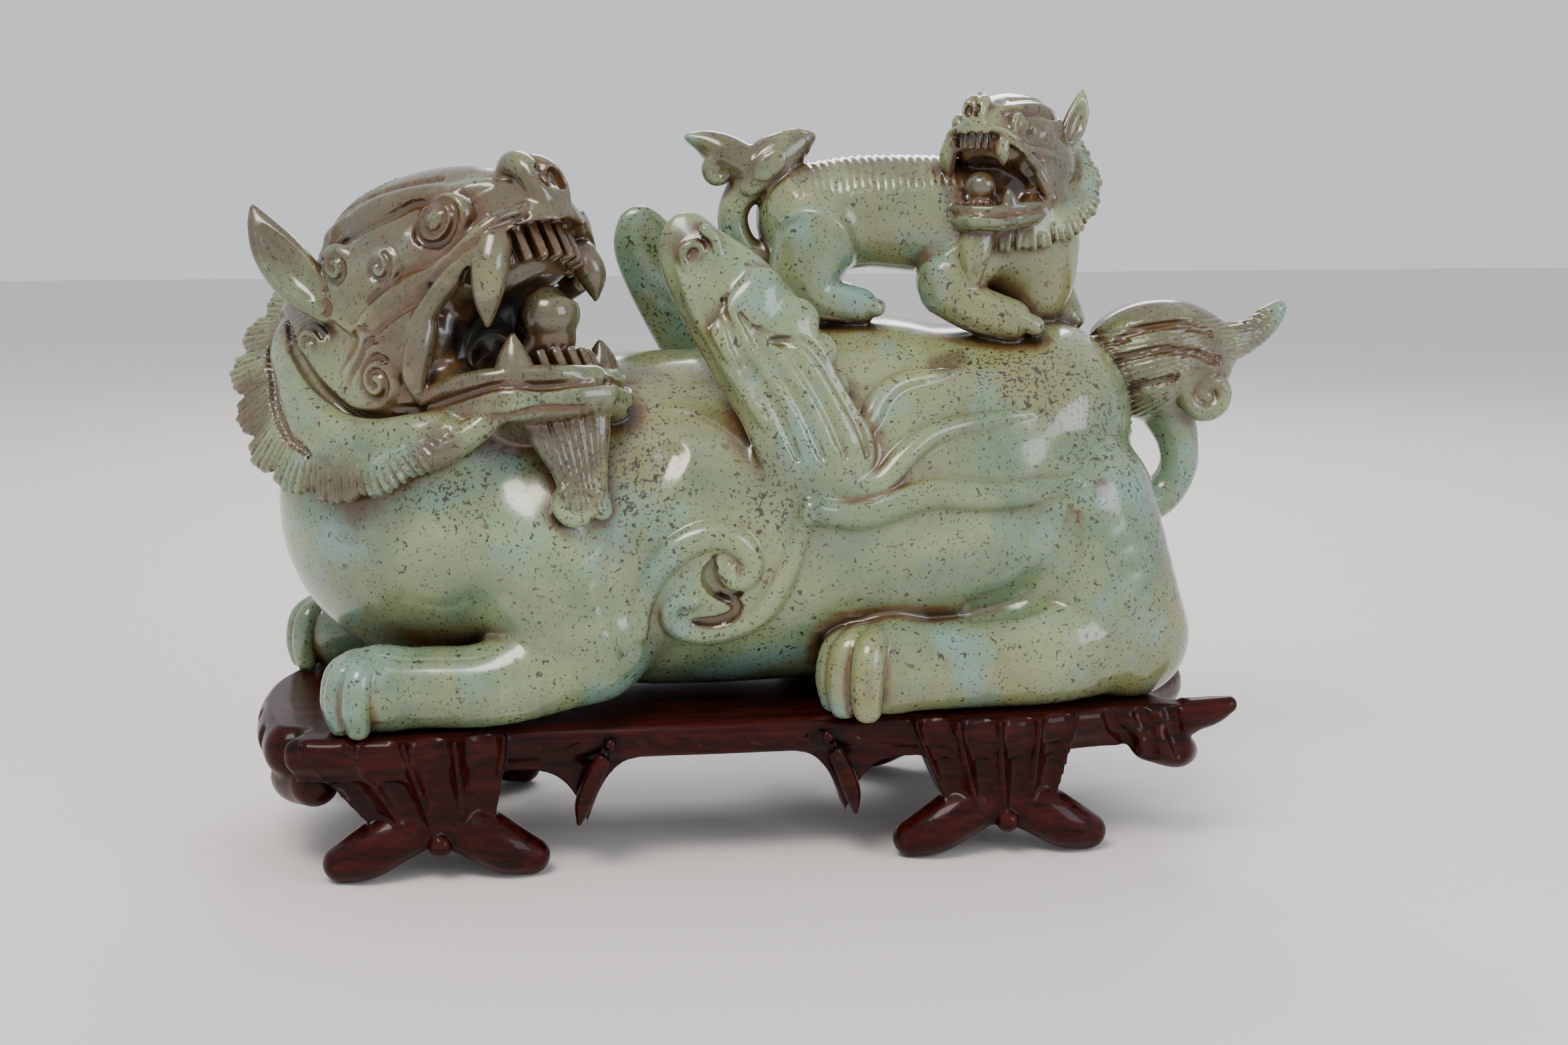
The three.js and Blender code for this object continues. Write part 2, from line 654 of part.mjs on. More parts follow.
// The slab's outline bulges over each fan leg and ends in a round lobe and two leaf tips
function slabOutline() {
  const [left, right] = legCentres;
  const half = [
    [endLeft, 0], [endLeft + 4, 22], [endLeft + 12, halfDepth - 14], [left - legWidth / 2, halfDepth - 1],
    [left, halfDepth + 2], [left + legWidth / 2, halfDepth - 6], [(left + right) / 2, halfDepth - 4],
    [right - legWidth / 2, halfDepth - 6], [right, halfDepth + 2], [right + legWidth / 2, halfDepth - 6],
    [tipRight, halfDepth - 4], [tipRight - 8, halfDepth - 24], [tipRight + 8, 6],
  ];
  const front = half.map(([x, y]) => new THREE.Vector3(x, -y, 0));
  const back = half.slice(1).reverse().map(([x, y]) => new THREE.Vector3(x, y, 0));
  const line = new THREE.CatmullRomCurve3([...front, ...back], true, 'centripetal');
  return line.getPoints(50).slice(0, -1).map((point) => new THREE.Vector2(point.x, point.y));
}

function slab() {
  const edge = 2;
  const geometry = new THREE.ExtrudeGeometry(new THREE.Shape(slabOutline()), {
    depth: slabThickness + crown - edge,
    bevelEnabled: true,
    bevelThickness: edge / 2,
    bevelSize: edge,
    bevelOffset: -edge,
    bevelSegments: 1,
  });
  geometry.translate(0, 0, underside + edge / 2);
  return solidFrom(geometry, 1);
}

// The apron runs between the legs, with a pointed drop at each end of its arch
function apron(side) {
  const [left, right] = legCentres;
  const top = underside + 1;
  const low = underside - apronDrop + archRise;
  const drops = [-57 * unit, 12 * unit];
  const shape = new THREE.Shape();
  shape.moveTo(left, top);
  shape.lineTo(left, low);
  shape.lineTo(drops[0] - 6, low);
  shape.quadraticCurveTo(drops[0] - 1, low, drops[0], low - dropLength);
  shape.quadraticCurveTo(drops[0] + 4, low + archRise, (drops[0] + drops[1]) / 2, low + archRise);
  shape.quadraticCurveTo(drops[1] - 4, low + archRise, drops[1], low - dropLength);
  shape.quadraticCurveTo(drops[1] + 1, low, drops[1] + 6, low);
  shape.lineTo(right, low);
  shape.lineTo(right, top);
  shape.closePath();
  const geometry = new THREE.ExtrudeGeometry(shape, { depth: apronWall, bevelEnabled: false, curveSegments: 5 });
  geometry.rotateX(Math.PI / 2);
  geometry.translate(0, side * (halfDepth - 6) + (side > 0 ? 0 : apronWall), 0);
  return solidFrom(geometry, 1);
}

// A fan leg narrows from the slab to its waist, and is cut into flutes all round
function fanLeg(x, y, width) {
  const levels = 4;
  const sides = flutes * 2;
  const top = standHeight - 2;
  const bottom = waistHeight - 4;
  const points = [new THREE.Vector3(x, y, bottom)];
  for (let level = 0; level <= levels; level += 1) {
    const share = 1 - level / levels;
    const narrow = 1 - (1 - legWaist / width) * Math.sin(share * Math.PI / 2) ** 0.85;
    for (let side = 0; side < sides; side += 1) {
      const angle = (side / sides) * Math.PI * 2;
      const groove = side % 2 === 0 ? 1 : 0.87;
      const across = Math.cos(angle) * (width / 2) * narrow * groove;
      const deep = Math.sin(angle) * (legDepth / 2) * (0.4 + 0.6 * narrow) * groove;
      points.push(new THREE.Vector3(x + across, y + deep, top + (bottom - top) * share));
    }
  }
  points.push(new THREE.Vector3(x, y, top));
  const geometry = new THREE.BufferGeometry().setFromPoints(points);
  geometry.setIndex(wrapped(levels + 1, sides));
  return solidFrom(geometry, 1);
}

// Two toes sweep out from the waist and rest flat on the floor
function toes(x, y, spread, outward) {
  return [-1, 1].map((side) => limb([
    [x, y, waistHeight, toeRadius * 1.15],
    [x + side * spread * 0.45, y + outward * 2, toeRadius * 1.15, toeRadius * 1.1],
    [x + side * spread * 0.85, y + outward * 4, toeRadius * 0.7, toeRadius],
  ].map((station) => station.map((value) => value / unit))));
}

// Round lobes hang under the slab's ends, and a curled leaf under each right corner
function endLobes() {
  const low = underside - 3;
  const lobes = [
    [[endLeft + 16, -34, low, 9], [endLeft + 10, -12, low, 10], [endLeft + 10, 12, low, 10], [endLeft + 16, 34, low, 9]],
    [[tipRight - 8, -16, low + 4, 7], [tipRight - 1, 4, low + 4, 8], [tipRight - 8, 22, low + 4, 7]],
    ...pair((side) => [[
      [tipRight - 26, side * (halfDepth - 10), underside, 8],
      [tipRight - 12, side * (halfDepth - 12), underside + 1, 6],
      [tipRight - 3, side * (halfDepth - 14), underside + 3, 3],
    ]]),
  ];
  const inUnits = (station) => station.map((value) => value / unit);
  return lobes.map((lobe) => limb(lobe.map(inUnits), { ends: 'both free' }));
}

function stand() {
  const inset = halfDepth - legDepth / 2 + 1;
  const solids = [slab(), apron(nearSide), apron(farSide), ...endLobes()];
  for (const x of legCentres) {
    solids.push(fanLeg(x, -inset, legWidth), ...toes(x, -inset, toeSpread, -1));
    solids.push(fanLeg(x, inset, legWidth * rearShare), ...toes(x, inset, toeSpread * rearShare, 1));
  }
  return joined(solids);
}

// Finished group
const jade = new THREE.MeshStandardMaterial({ color: 0xb4c4a4, roughness: 0.22, metalness: 0 });
const rosewood = new THREE.MeshStandardMaterial({ color: 0x35100d, roughness: 0.2, metalness: 0 });

const carving = new THREE.Mesh(finished(lion(), carvingFaces, 0, figureLength), jade);
carving.name = 'jade_lion_with_cub';
carving.position.z = standHeight + touchGap;

const base = new THREE.Mesh(finished(stand(), standFaces, 0, standHeight), rosewood);
base.name = 'carved_wood_stand';

const part = new THREE.Group();
part.add(base, carving);

export default part;
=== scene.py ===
"""A jade guardian lion with a cub on its rump, on a carved and lacquered rosewood stand.

The stone and the stand are each modelled as clay: a grid of distances to a surface that
strokes are added to and cut from. Sizes are in millimetres until a mesh is made.
"""

import math

import bpy
import numpy as np
import openvdb
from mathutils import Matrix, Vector


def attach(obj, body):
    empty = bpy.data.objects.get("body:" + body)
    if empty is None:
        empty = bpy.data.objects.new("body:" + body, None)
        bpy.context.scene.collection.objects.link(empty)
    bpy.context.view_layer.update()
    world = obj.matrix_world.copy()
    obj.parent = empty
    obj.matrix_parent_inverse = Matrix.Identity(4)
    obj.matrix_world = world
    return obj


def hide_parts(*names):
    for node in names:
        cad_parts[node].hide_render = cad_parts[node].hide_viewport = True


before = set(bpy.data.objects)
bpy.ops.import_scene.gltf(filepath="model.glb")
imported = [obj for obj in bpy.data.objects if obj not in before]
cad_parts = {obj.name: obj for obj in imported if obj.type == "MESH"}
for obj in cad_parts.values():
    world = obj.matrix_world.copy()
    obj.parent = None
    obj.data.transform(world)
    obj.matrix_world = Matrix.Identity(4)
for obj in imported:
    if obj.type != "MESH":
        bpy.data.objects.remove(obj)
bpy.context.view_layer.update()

MM = 0.001
STONE_STEP = 0.65  # pitch of the stone's grid
STAND_STEP = 0.6  # pitch of the stand's grid
FAR = 14.0  # distance that stands for empty space
HALO = 3.0  # how far past a stroke its distances are worked out
THINNEST = 0.25  # least radius of a stroke
STONE_FACES = 196000  # triangles left in the stone
STAND_FACES = 120000  # triangles left in the stand
SLAB_TOP = 40.0  # top of the stand's slab above the floor
SEAT = SLAB_TOP + 0.3  # the stone's flat underside, just clear of the slab
COMB_DEPTH = 0.42  # depth of the combed lines
NEAR, FAR_SIDE = -1, 1  # the side that the head turns to, and the other one


# Clay: the distance grid and its strokes

def smooth_line(stations, steps=6):
    """A smooth line through stations [x, y, z, radius], as closer stations."""
    points = np.array(stations, float)
    if len(points) < 3:
        share = np.linspace(0, 1, steps + 1)[:, None]
        return points[0] + (points[-1] - points[0]) * share
    padded = np.vstack([2 * points[0] - points[1], points, 2 * points[-1] - points[-2]])
    made = []
    for a, b, c, d in zip(padded[:-3], padded[1:-2], padded[2:-1], padded[3:]):
        for t in np.arange(steps) / steps:
            made.append(0.5 * (2 * b + (c - a) * t + (2 * a - 5 * b + 4 * c - d) * t ** 2
                               + (3 * b - a - 3 * c + d) * t ** 3))
    made.append(points[-1])
    made = np.array(made)
    if made.shape[1] > 3:
        made[:, 3] = np.maximum(made[:, 3], THINNEST)
    return made


def soft_min(a, b, blend):
    """The lesser of two distances, rounded where they meet."""
    near = np.maximum(blend - np.abs(a - b), 0) / blend
    return np.minimum(a, b) - near * near * (blend * 0.25)


class Clay:
    """A solid held as distances, negative inside, on an upright grid."""

    def __init__(self, low, high, step):
        self.step = step
        self.first = np.floor(np.array(low) / step).astype(int)
        self.count = np.ceil(np.array(high) / step).astype(int) - self.first + 1
        self.field = np.full(self.count, FAR, dtype=np.float32)

    def window(self, low, high, within=None):
        """The part of the grid that a box reaches, and the coordinates of its points."""
        least = [0, 0, 0] if within is None else [part.start for part in within]
        most = self.count if within is None else [part.stop for part in within]
        start = np.clip(np.floor(np.array(low) / self.step).astype(int) - self.first, least, most)
        stop = np.clip(np.ceil(np.array(high) / self.step).astype(int) + 1 - self.first, start, most)
        where = tuple(slice(a, b) for a, b in zip(start, stop))
        axes = [((np.arange(a, b) + f) * self.step).astype(np.float32)
                for a, b, f in zip(start, stop, self.first)]
        return where, np.meshgrid(*axes, indexing="ij", sparse=True)

    def along(self, axis):
        """The coordinates of the grid's points on one axis."""
        return (np.arange(self.count[axis]) + self.first[axis]) * self.step

    def merge(self, where, part, blend, cut):
        """Joins a part to the solid, or cuts it out, with a rounded seam."""
        old = self.field[where]
        self.field[where] = -soft_min(-old, part, blend) if cut else soft_min(old, part, blend)

    def tube(self, stations, blend, cut=False, steps=6, flat=None):
        """A tapering round stroke; flat = (direction, ratio) presses its sections thinner."""
        line = smooth_line(stations, steps)
        margin = blend + HALO
        where, _ = self.window((line[:, :3] - line[:, 3:]).min(0) - margin,
                               (line[:, :3] + line[:, 3:]).max(0) + margin)
        part = np.full([s.stop - s.start for s in where], FAR, dtype=np.float32)
        for a, b in zip(line[:-1], line[1:]):
            reach = max(a[3], b[3]) + margin
            inner, grid = self.window(np.minimum(a, b)[:3] - reach, np.maximum(a, b)[:3] + reach, where)
            local = tuple(slice(i.start - w.start, i.stop - w.start) for i, w in zip(inner, where))
            part[local] = np.minimum(part[local], cone(grid, a, b, flat))
        self.merge(where, part, blend, cut)

    def egg(self, centre, radii, blend, cut=False, turn=None):
        """An ellipsoid, turned by the columns of turn."""
        turn = np.eye(3) if turn is None else turn
        reach = np.sqrt(((turn * np.array(radii)) ** 2).sum(1)) + blend + HALO
        where, (x, y, z) = self.window(centre - reach, centre + reach)
        away = [x - centre[0], y - centre[1], z - centre[2]]
        local = [sum(turn[i, axis] * away[i] for i in range(3)) for axis in range(3)]
        scaled = np.sqrt(sum((v / r) ** 2 for v, r in zip(local, radii)))
        steep = np.sqrt(sum((v / r ** 2) ** 2 for v, r in zip(local, radii)))
        self.merge(where, scaled * (scaled - 1) / np.maximum(steep, 1e-6), blend, cut)

    def block(self, centre, half, edge, blend, turn):
        """A block of half sizes with rounded edges."""
        reach = np.abs(turn) @ np.array(half) + blend + HALO
        where, (x, y, z) = self.window(centre - reach, centre + reach)
        away = [x - centre[0], y - centre[1], z - centre[2]]
        over = [np.abs(sum(turn[i, axis] * away[i] for i in range(3))) - (half[axis] - edge)
                for axis in range(3)]
        out = np.sqrt(sum(np.maximum(v, 0) ** 2 for v in over))
        part = out + np.minimum(np.maximum(np.maximum(over[0], over[1]), over[2]), 0) - edge
        self.merge(where, part, blend, False)

    def take(self, other, blend):
        """Joins another solid on the same lattice."""
        start = other.first - self.first
        low = np.maximum(start, 0)
        high = np.minimum(start + other.count, self.count)
        mine = tuple(slice(a, b) for a, b in zip(low, high))
        its = tuple(slice(a - s, b - s) for a, b, s in zip(low, high, start))
        self.field[mine] = soft_min(self.field[mine], other.field[its], blend)

    def sample(self, points):
        """The distances at points, between the grid's own."""
        place = np.clip(np.asarray(points) / self.step - self.first, 0, self.count - 1.001)
        corner = place.astype(int)
        share = place - corner
        total = 0
        for dx in (0, 1):
            for dy in (0, 1):
                for dz in (0, 1):
                    weight = np.abs([1 - dx, 1 - dy, 1 - dz] - share).prod(axis=1)
                    total = total + weight * self.field[tuple((corner + [dx, dy, dz]).T)]
        return total

    def outward(self, points, reach):
        """The directions that face out of the solid, measured over a small reach."""
        moves = np.eye(3) * reach
        slope = np.stack([self.sample(points + m) - self.sample(points - m) for m in moves], axis=1)
        return slope / np.maximum(np.linalg.norm(slope, axis=1, keepdims=True), 1e-6)

    def onto(self, points):
        """Points moved to the nearest surface."""
        points = np.array(points, float)
        for _ in range(8):
            points = points - self.outward(points, 1.2) * (0.8 * self.sample(points))[:, None]
        return points

    def flank(self, path, side):
        """Points (x, z) moved in along Y from one side until they meet the surface."""
        made = []
        for x, z in path:
            ys = side * np.arange(60, 0, -0.4)
            column = np.stack([np.full_like(ys, x), ys, np.full_like(ys, z)], axis=1)
            inside = np.nonzero(self.sample(column) < 0)[0]
            made.append(column[inside[0]] if len(inside) else column[-1])
        return np.array(made)

    def ridge(self, points, radii, rise, blend=0.8):
        """A raised cord along the surface; rise is the share of its radius that stands out."""
        line = smooth_line(np.column_stack([points, radii]))
        skin = self.onto(line[:, :3])
        centres = skin - self.outward(skin, 1.5) * (line[:, 3:] * (1 - rise))
        self.tube(np.column_stack([centres, line[:, 3]]), blend, steps=1)

    def groove(self, points, radius, depth, blend=0.5):
        """A cut line of some depth along the surface; radius is one for all points or one for each."""
        points = np.array(points, float)
        radii = np.broadcast_to(np.array(radius, float), (len(points),))
        line = smooth_line(np.column_stack([points, radii]))
        skin = self.onto(line[:, :3])
        centres = skin + self.outward(skin, 1.5) * (line[:, 3:] - depth)
        self.tube(np.column_stack([centres, line[:, 3]]), blend, cut=True, steps=1)


def cone(grid, a, b, flat):
    """Distances to a round stroke between two stations of [x, y, z, radius]."""
    span = b[:3] - a[:3]
    away = [g - v for g, v in zip(grid, a)]
    share = np.clip(sum(w * s for w, s in zip(away, span)) / max(span @ span, 1e-9), 0, 1)
    off = [w - share * s for w, s in zip(away, span)]
    thin = 1.0
    if flat is not None:
        direction, ratio = flat
        along = sum(o * d for o, d in zip(off, direction))
        off = [o + along * d * (1 / ratio - 1) for o, d in zip(off, direction)]
        thin = 0.5 + 0.5 * ratio
    return (np.sqrt(sum(o * o for o in off)) - (a[3] + share * (b[3] - a[3]))) * thin


class Place:
    """A local frame in the carving: +X forward, +Z up, turned, tilted up and rolled."""

    def __init__(self, origin, turn=0, tilt=0, roll=0, scale=1.0):
        t, b, c = (math.radians(v) for v in (turn, -tilt, roll))
        about_z = np.array([[math.cos(t), -math.sin(t), 0], [math.sin(t), math.cos(t), 0], [0, 0, 1]])
        about_y = np.array([[math.cos(b), 0, math.sin(b)], [0, 1, 0], [-math.sin(b), 0, math.cos(b)]])
        about_x = np.array([[1, 0, 0], [0, math.cos(c), -math.sin(c)], [0, math.sin(c), math.cos(c)]])
        self.origin = np.array(origin, float)
        self.axes = about_z @ about_y @ about_x
        self.scale = scale

    def at(self, points):
        """Points of the local frame in the carving; a fourth number is a radius."""
        points = np.array(points, float)
        made = points.copy()
        made[..., :3] = points[..., :3] @ self.axes.T * self.scale + self.origin
        if points.shape[-1] > 3:
            made[..., 3] *= self.scale
        return made


def scroll(centre, reach, turns, start, thick, thin=None):
    """A spiral cord in an upright plane along X that winds in to its centre, as stations."""
    thin = thick * 0.6 if thin is None else thin
    made = []
    for share in np.linspace(0, 1, int(10 * abs(turns)) + 6):
        angle = start + share * turns * 2 * math.pi
        radius = reach * (1 - 0.86 * share)
        made.append([centre[0] + radius * math.cos(angle), centre[1], centre[2] + radius * math.sin(angle),
                     thick + (thin - thick) * share])
    return made


def evenly(curve, count):
    """Evenly spaced points along a smooth curve."""
    line = smooth_line(curve, 10)
    run = np.concatenate([[0], np.cumsum(np.linalg.norm(np.diff(line[:, :3], axis=0), axis=1))])
    return np.stack([np.interp(np.linspace(0, run[-1], count), run, line[:, i])
                     for i in range(line.shape[1])], axis=1)


# Fields of combed hair: points on the curve where the lines start, points where they end, the number of
# lines, how far from the surface between the curves they reach, and their strength
combs = []
# Painted shade inside the mouths: x, y, z, radius
painted_mouth_shade = []
RULED = 60  # straight lines that stand for each combed field


def comb(starts, ends, lines, reach, strength):
    """Notes a field of combed hair from one curve to another."""
    combs.append((evenly(starts, RULED)[:, :3], evenly(ends, RULED)[:, :3], lines, reach, strength))


# The lion's body, legs, flank carving and wings

STONE_LOW = np.array([-151.0, -58.0, -3.0])
STONE_HIGH = np.array([151.0, 58.0, 168.0])


def body_clay():
    """The long barrel with its full breast, high rump and neck, and the four folded legs."""
    clay = Clay(STONE_LOW, STONE_HIGH, STONE_STEP)
    clay.tube([[-94, 2, 51, 42], [-60, 0, 48, 45], [-20, 0, 47, 46.5], [40, 0, 49, 45], [58, 2, 53, 42]], 3,
              steps=3)
    clay.egg([-91, 0, 56], [45, 43, 48], 4)
    clay.egg([56, 0, 54], [43, 43, 46], 4)
    clay.egg([72, 0, 74], [27, 34, 27], 4)
    clay.egg([22, 0, 62], [56, 43, 41], 4)
    clay.tube([[-98, 2, 72, 33], [-98, -4, 92, 26]], 4, steps=3)
    for side in (NEAR, FAR_SIDE):
        limbs(clay, side)
    return clay


def limbs(clay, side):
    """The fore and hind leg of one side, folded under the body, with their paws."""
    if side == NEAR:
        clay.tube([[-68, -26, 44, 25], [-56, -32, 22, 18.5]], 5, steps=4)
        clay.tube([[-57, -32, 19, 16], [-80, -39, 11, 11.4], [-98, -40, 10.6, 10.6],
                   [-110, -40, 10.6, 10.6]], 2)
        paw(clay, -122.5, -40, 21, 22, 22)
    else:
        clay.tube([[-72, 27, 44, 25], [-68, 31, 22, 18.5]], 5, steps=4)
        clay.tube([[-68, 31, 20, 16], [-95, 33, 11, 11.4], [-124, 33, 10.4, 10.4]], 2)
        paw(clay, -137, 33, 21, 21, 22)
    clay.tube([[76, side * 22, 50, 25], [85, side * 26, 26, 22], [92, side * 27, 16, 18]], 4, steps=4)
    clay.tube([[88, side * 28, 19, 18.5], [68, side * 36, 15, 15.5], [48, side * 39, 12.5, 12.6],
               [34, side * 40, 12, 12]], 1.6)
    paw(clay, 7.5, side * 40, 27, 26, 26)


def paw(clay, tip, y, length, width, height):
    """A fist-like paw along -X, with four toes that curl down over its front and outer side."""
    clay.egg(np.array([tip + 0.62 * length, y, 0.48 * height]),
             [0.6 * length, 0.46 * width, 0.52 * height], 2)
    thick = width * 0.165
    reach = 0.47 * width
    middle = np.array([tip + 0.56 * width, y])
    for degrees in (-36, -4, 28, 62):
        angle = math.radians(degrees)
        way = np.array([-math.cos(angle), math.sin(angle) * np.sign(y)])
        knuckles = ((0.15, height * 0.96 - thick, 0.8), (0.6, height * 0.94 - thick, 1),
                    (0.98, height * 0.66, 1.02), (1.12, height * 0.36, 1), (1.05, thick * 0.8, 0.9))
        clay.tube([[*(middle + way * reach * share), z, thick * fullness] for share, z, fullness in knuckles],
                  0.35)


def flank_relief(clay, side):
    """Scrolls, the wing's root and three feather bands, laid on one flank."""

    def cords(stations, rise=0.72, blend=0.8):
        """A raised cord through stations [x, z, radius]."""
        stations = np.array(stations, float)
        clay.ridge(clay.flank(stations[:, :2], side), stations[:, 2], rise, blend)

    def cuts(path, radius, depth, blend=0.5):
        """A cut line through points [x, z]."""
        clay.groove(clay.flank(np.array(path, float), side), radius, depth, blend)

    # The wing's rounded root and the curl over it
    cords([[-20, 92, 3], [-10, 86, 7], [0, 78, 8], [5, 68, 8], [4, 60, 6], [0, 54, 4]], 0.3, 3)
    cords([[-4, 90, 3.5], [0, 93.5, 3.4], [5, 94, 3.2], [8, 90, 3], [8, 84, 3], [3, 81.5, 2.6],
           [-0.5, 84.5, 2.2], [0.5, 88, 2]], 0.6)
    # Three feather bands towards the hip
    cords([[7, 83, 3], [11, 77.5, 3.2], [17, 77.5, 3.3], [21.5, 83.5, 3.1], [27, 87.3, 2.8], [36, 88.6, 2.1],
           [44, 89.5, 1.2]])
    cords([[6, 66, 3.2], [12.5, 61.5, 3.5], [20.5, 62.5, 3.6], [26.5, 68.3, 3.5], [33.5, 73.4, 3.2],
           [42, 76, 2.8], [53, 77.7, 2.2], [63, 78.6, 1.2]])
    cords([[2, 56, 3.6], [9, 54.5, 4.2], [17, 54.5, 4.4], [26, 57.3, 4.4], [36, 59, 4.3], [49, 57.8, 4.1],
           [62, 58.8, 3.6], [73, 61.4, 2]])
    # A large and a small scroll behind the shoulder, wound into each other
    cords([[-43, 24, 2.6], [-42.5, 31, 3.2], [-39, 40, 4], [-32, 47, 4.2], [-24, 49.7, 4.2],
           [-17, 47.5, 3.8], [-13.6, 42, 3.2], [-15, 37.6, 2.6], [-18.6, 37.2, 2.2], [-19.3, 41, 1.9]], 0.7)
    cords([[0.5, 54, 2.4], [-2.4, 45, 3], [-5.2, 37.5, 3.2], [-9, 29.6, 3.2], [-14.4, 24.8, 3.2],
           [-22.7, 21.8, 3.2], [-31, 23, 3.1], [-35, 27.5, 3], [-33.4, 32, 2.6], [-29, 31.6, 2.2]], 0.65)
    # Deep cuts between the bands and inside the scrolls
    cuts([[10.5, 90], [9.8, 83], [10.4, 80], [13, 79.4], [16, 81]], [1.6, 1.7, 1.9, 1.9, 1.2], 2.4)
    cuts([[20, 73.5], [15, 71], [11.2, 67.6], [11.6, 65], [15, 64.6], [19, 66.4]],
         [0.9, 1.5, 2, 2, 1.9, 1.2], 2.6)
    cuts([[-23.8, 43.4], [-24.6, 38.5], [-21.8, 34.4], [-16.5, 33.6]], [1.4, 2.2, 2.2, 1.4], 3)
    cuts([[-21.8, 33], [-17.4, 30.8], [-18.4, 27.6], [-23.4, 26], [-28, 26.2]], [1, 1.4, 1.6, 1.5, 1], 1.8)
    # Soft creases behind the shoulder and in front of the haunch
    cuts([[-34, 70], [-41, 57], [-46, 45], [-48.5, 32], [-46, 20]], [3, 5, 6, 6, 4], 1, 3)
    cuts([[72, 52], [71, 43], [66, 35], [58, 30], [47, 27]], [2, 3.5, 4.5, 4.5, 3], 1.2, 2.4)


def wing(clay, side):
    """An upright wing whose tip curls over, with a hollow front edge and stepped round feathers behind."""
    flat = ([0, 1, 0], 0.36)
    lead = 0 if side == NEAR else -8
    own = Clay([-56, -54, 52], [34, 54, 140], STONE_STEP)
    own.tube([[lead + 4, side * 43, 70, 15], [lead - 3, side * 41, 84, 14], [lead - 10, side * 37, 98, 15],
              [lead - 18, side * 33, 110, 13.5], [lead - 26, side * 30, 120, 9.6],
              [lead - 28, side * 29, 125, 7]], 1.5, flat=flat)
    for x, z, radius in ((-9, 112, 7), (0, 104, 7), (5, 95.5, 7), (8, 86, 7), (12, 77, 6.6)):
        own.tube([[lead + x - 10, side * 42, z - 15, radius], [lead + x - 4, side * 40, z - 5, radius],
                  [lead + x - 1, side * 37.5, z, radius * 0.9]], 0.5, flat=flat)
    own.tube([[lead - 20, side * 47, 78, 7], [lead - 30, side * 42, 96, 8], [lead - 40, side * 36, 111, 7]],
             1.5, cut=True)
    front = own.flank([(lead - 10, 78), (lead - 17, 90), (lead - 26, 105), (lead - 31, 118)], side)
    own.ridge(front, [1.4, 2, 2, 1.4], 0.75)
    own.tube(scroll([lead - 26.5, side * 34.5, 121.6], 6.4, -1.3, 1.2, 1.7), 0.5)
    for shift in (0, 7, 14, 21):
        path = [(lead - 2 + shift * 0.9, 70), (lead - 8 + shift * 0.9, 84), (lead - 17 + shift * 0.9, 98),
                (lead - 20 + shift * 0.55, 110 - shift * 0.5)]
        own.groove(own.flank(path, side), [1.2, 2, 2, 0.8], 1.3, 0.8)
    clay.take(own, 2)


# The two heads

TEETH = 8  # small teeth in each jaw


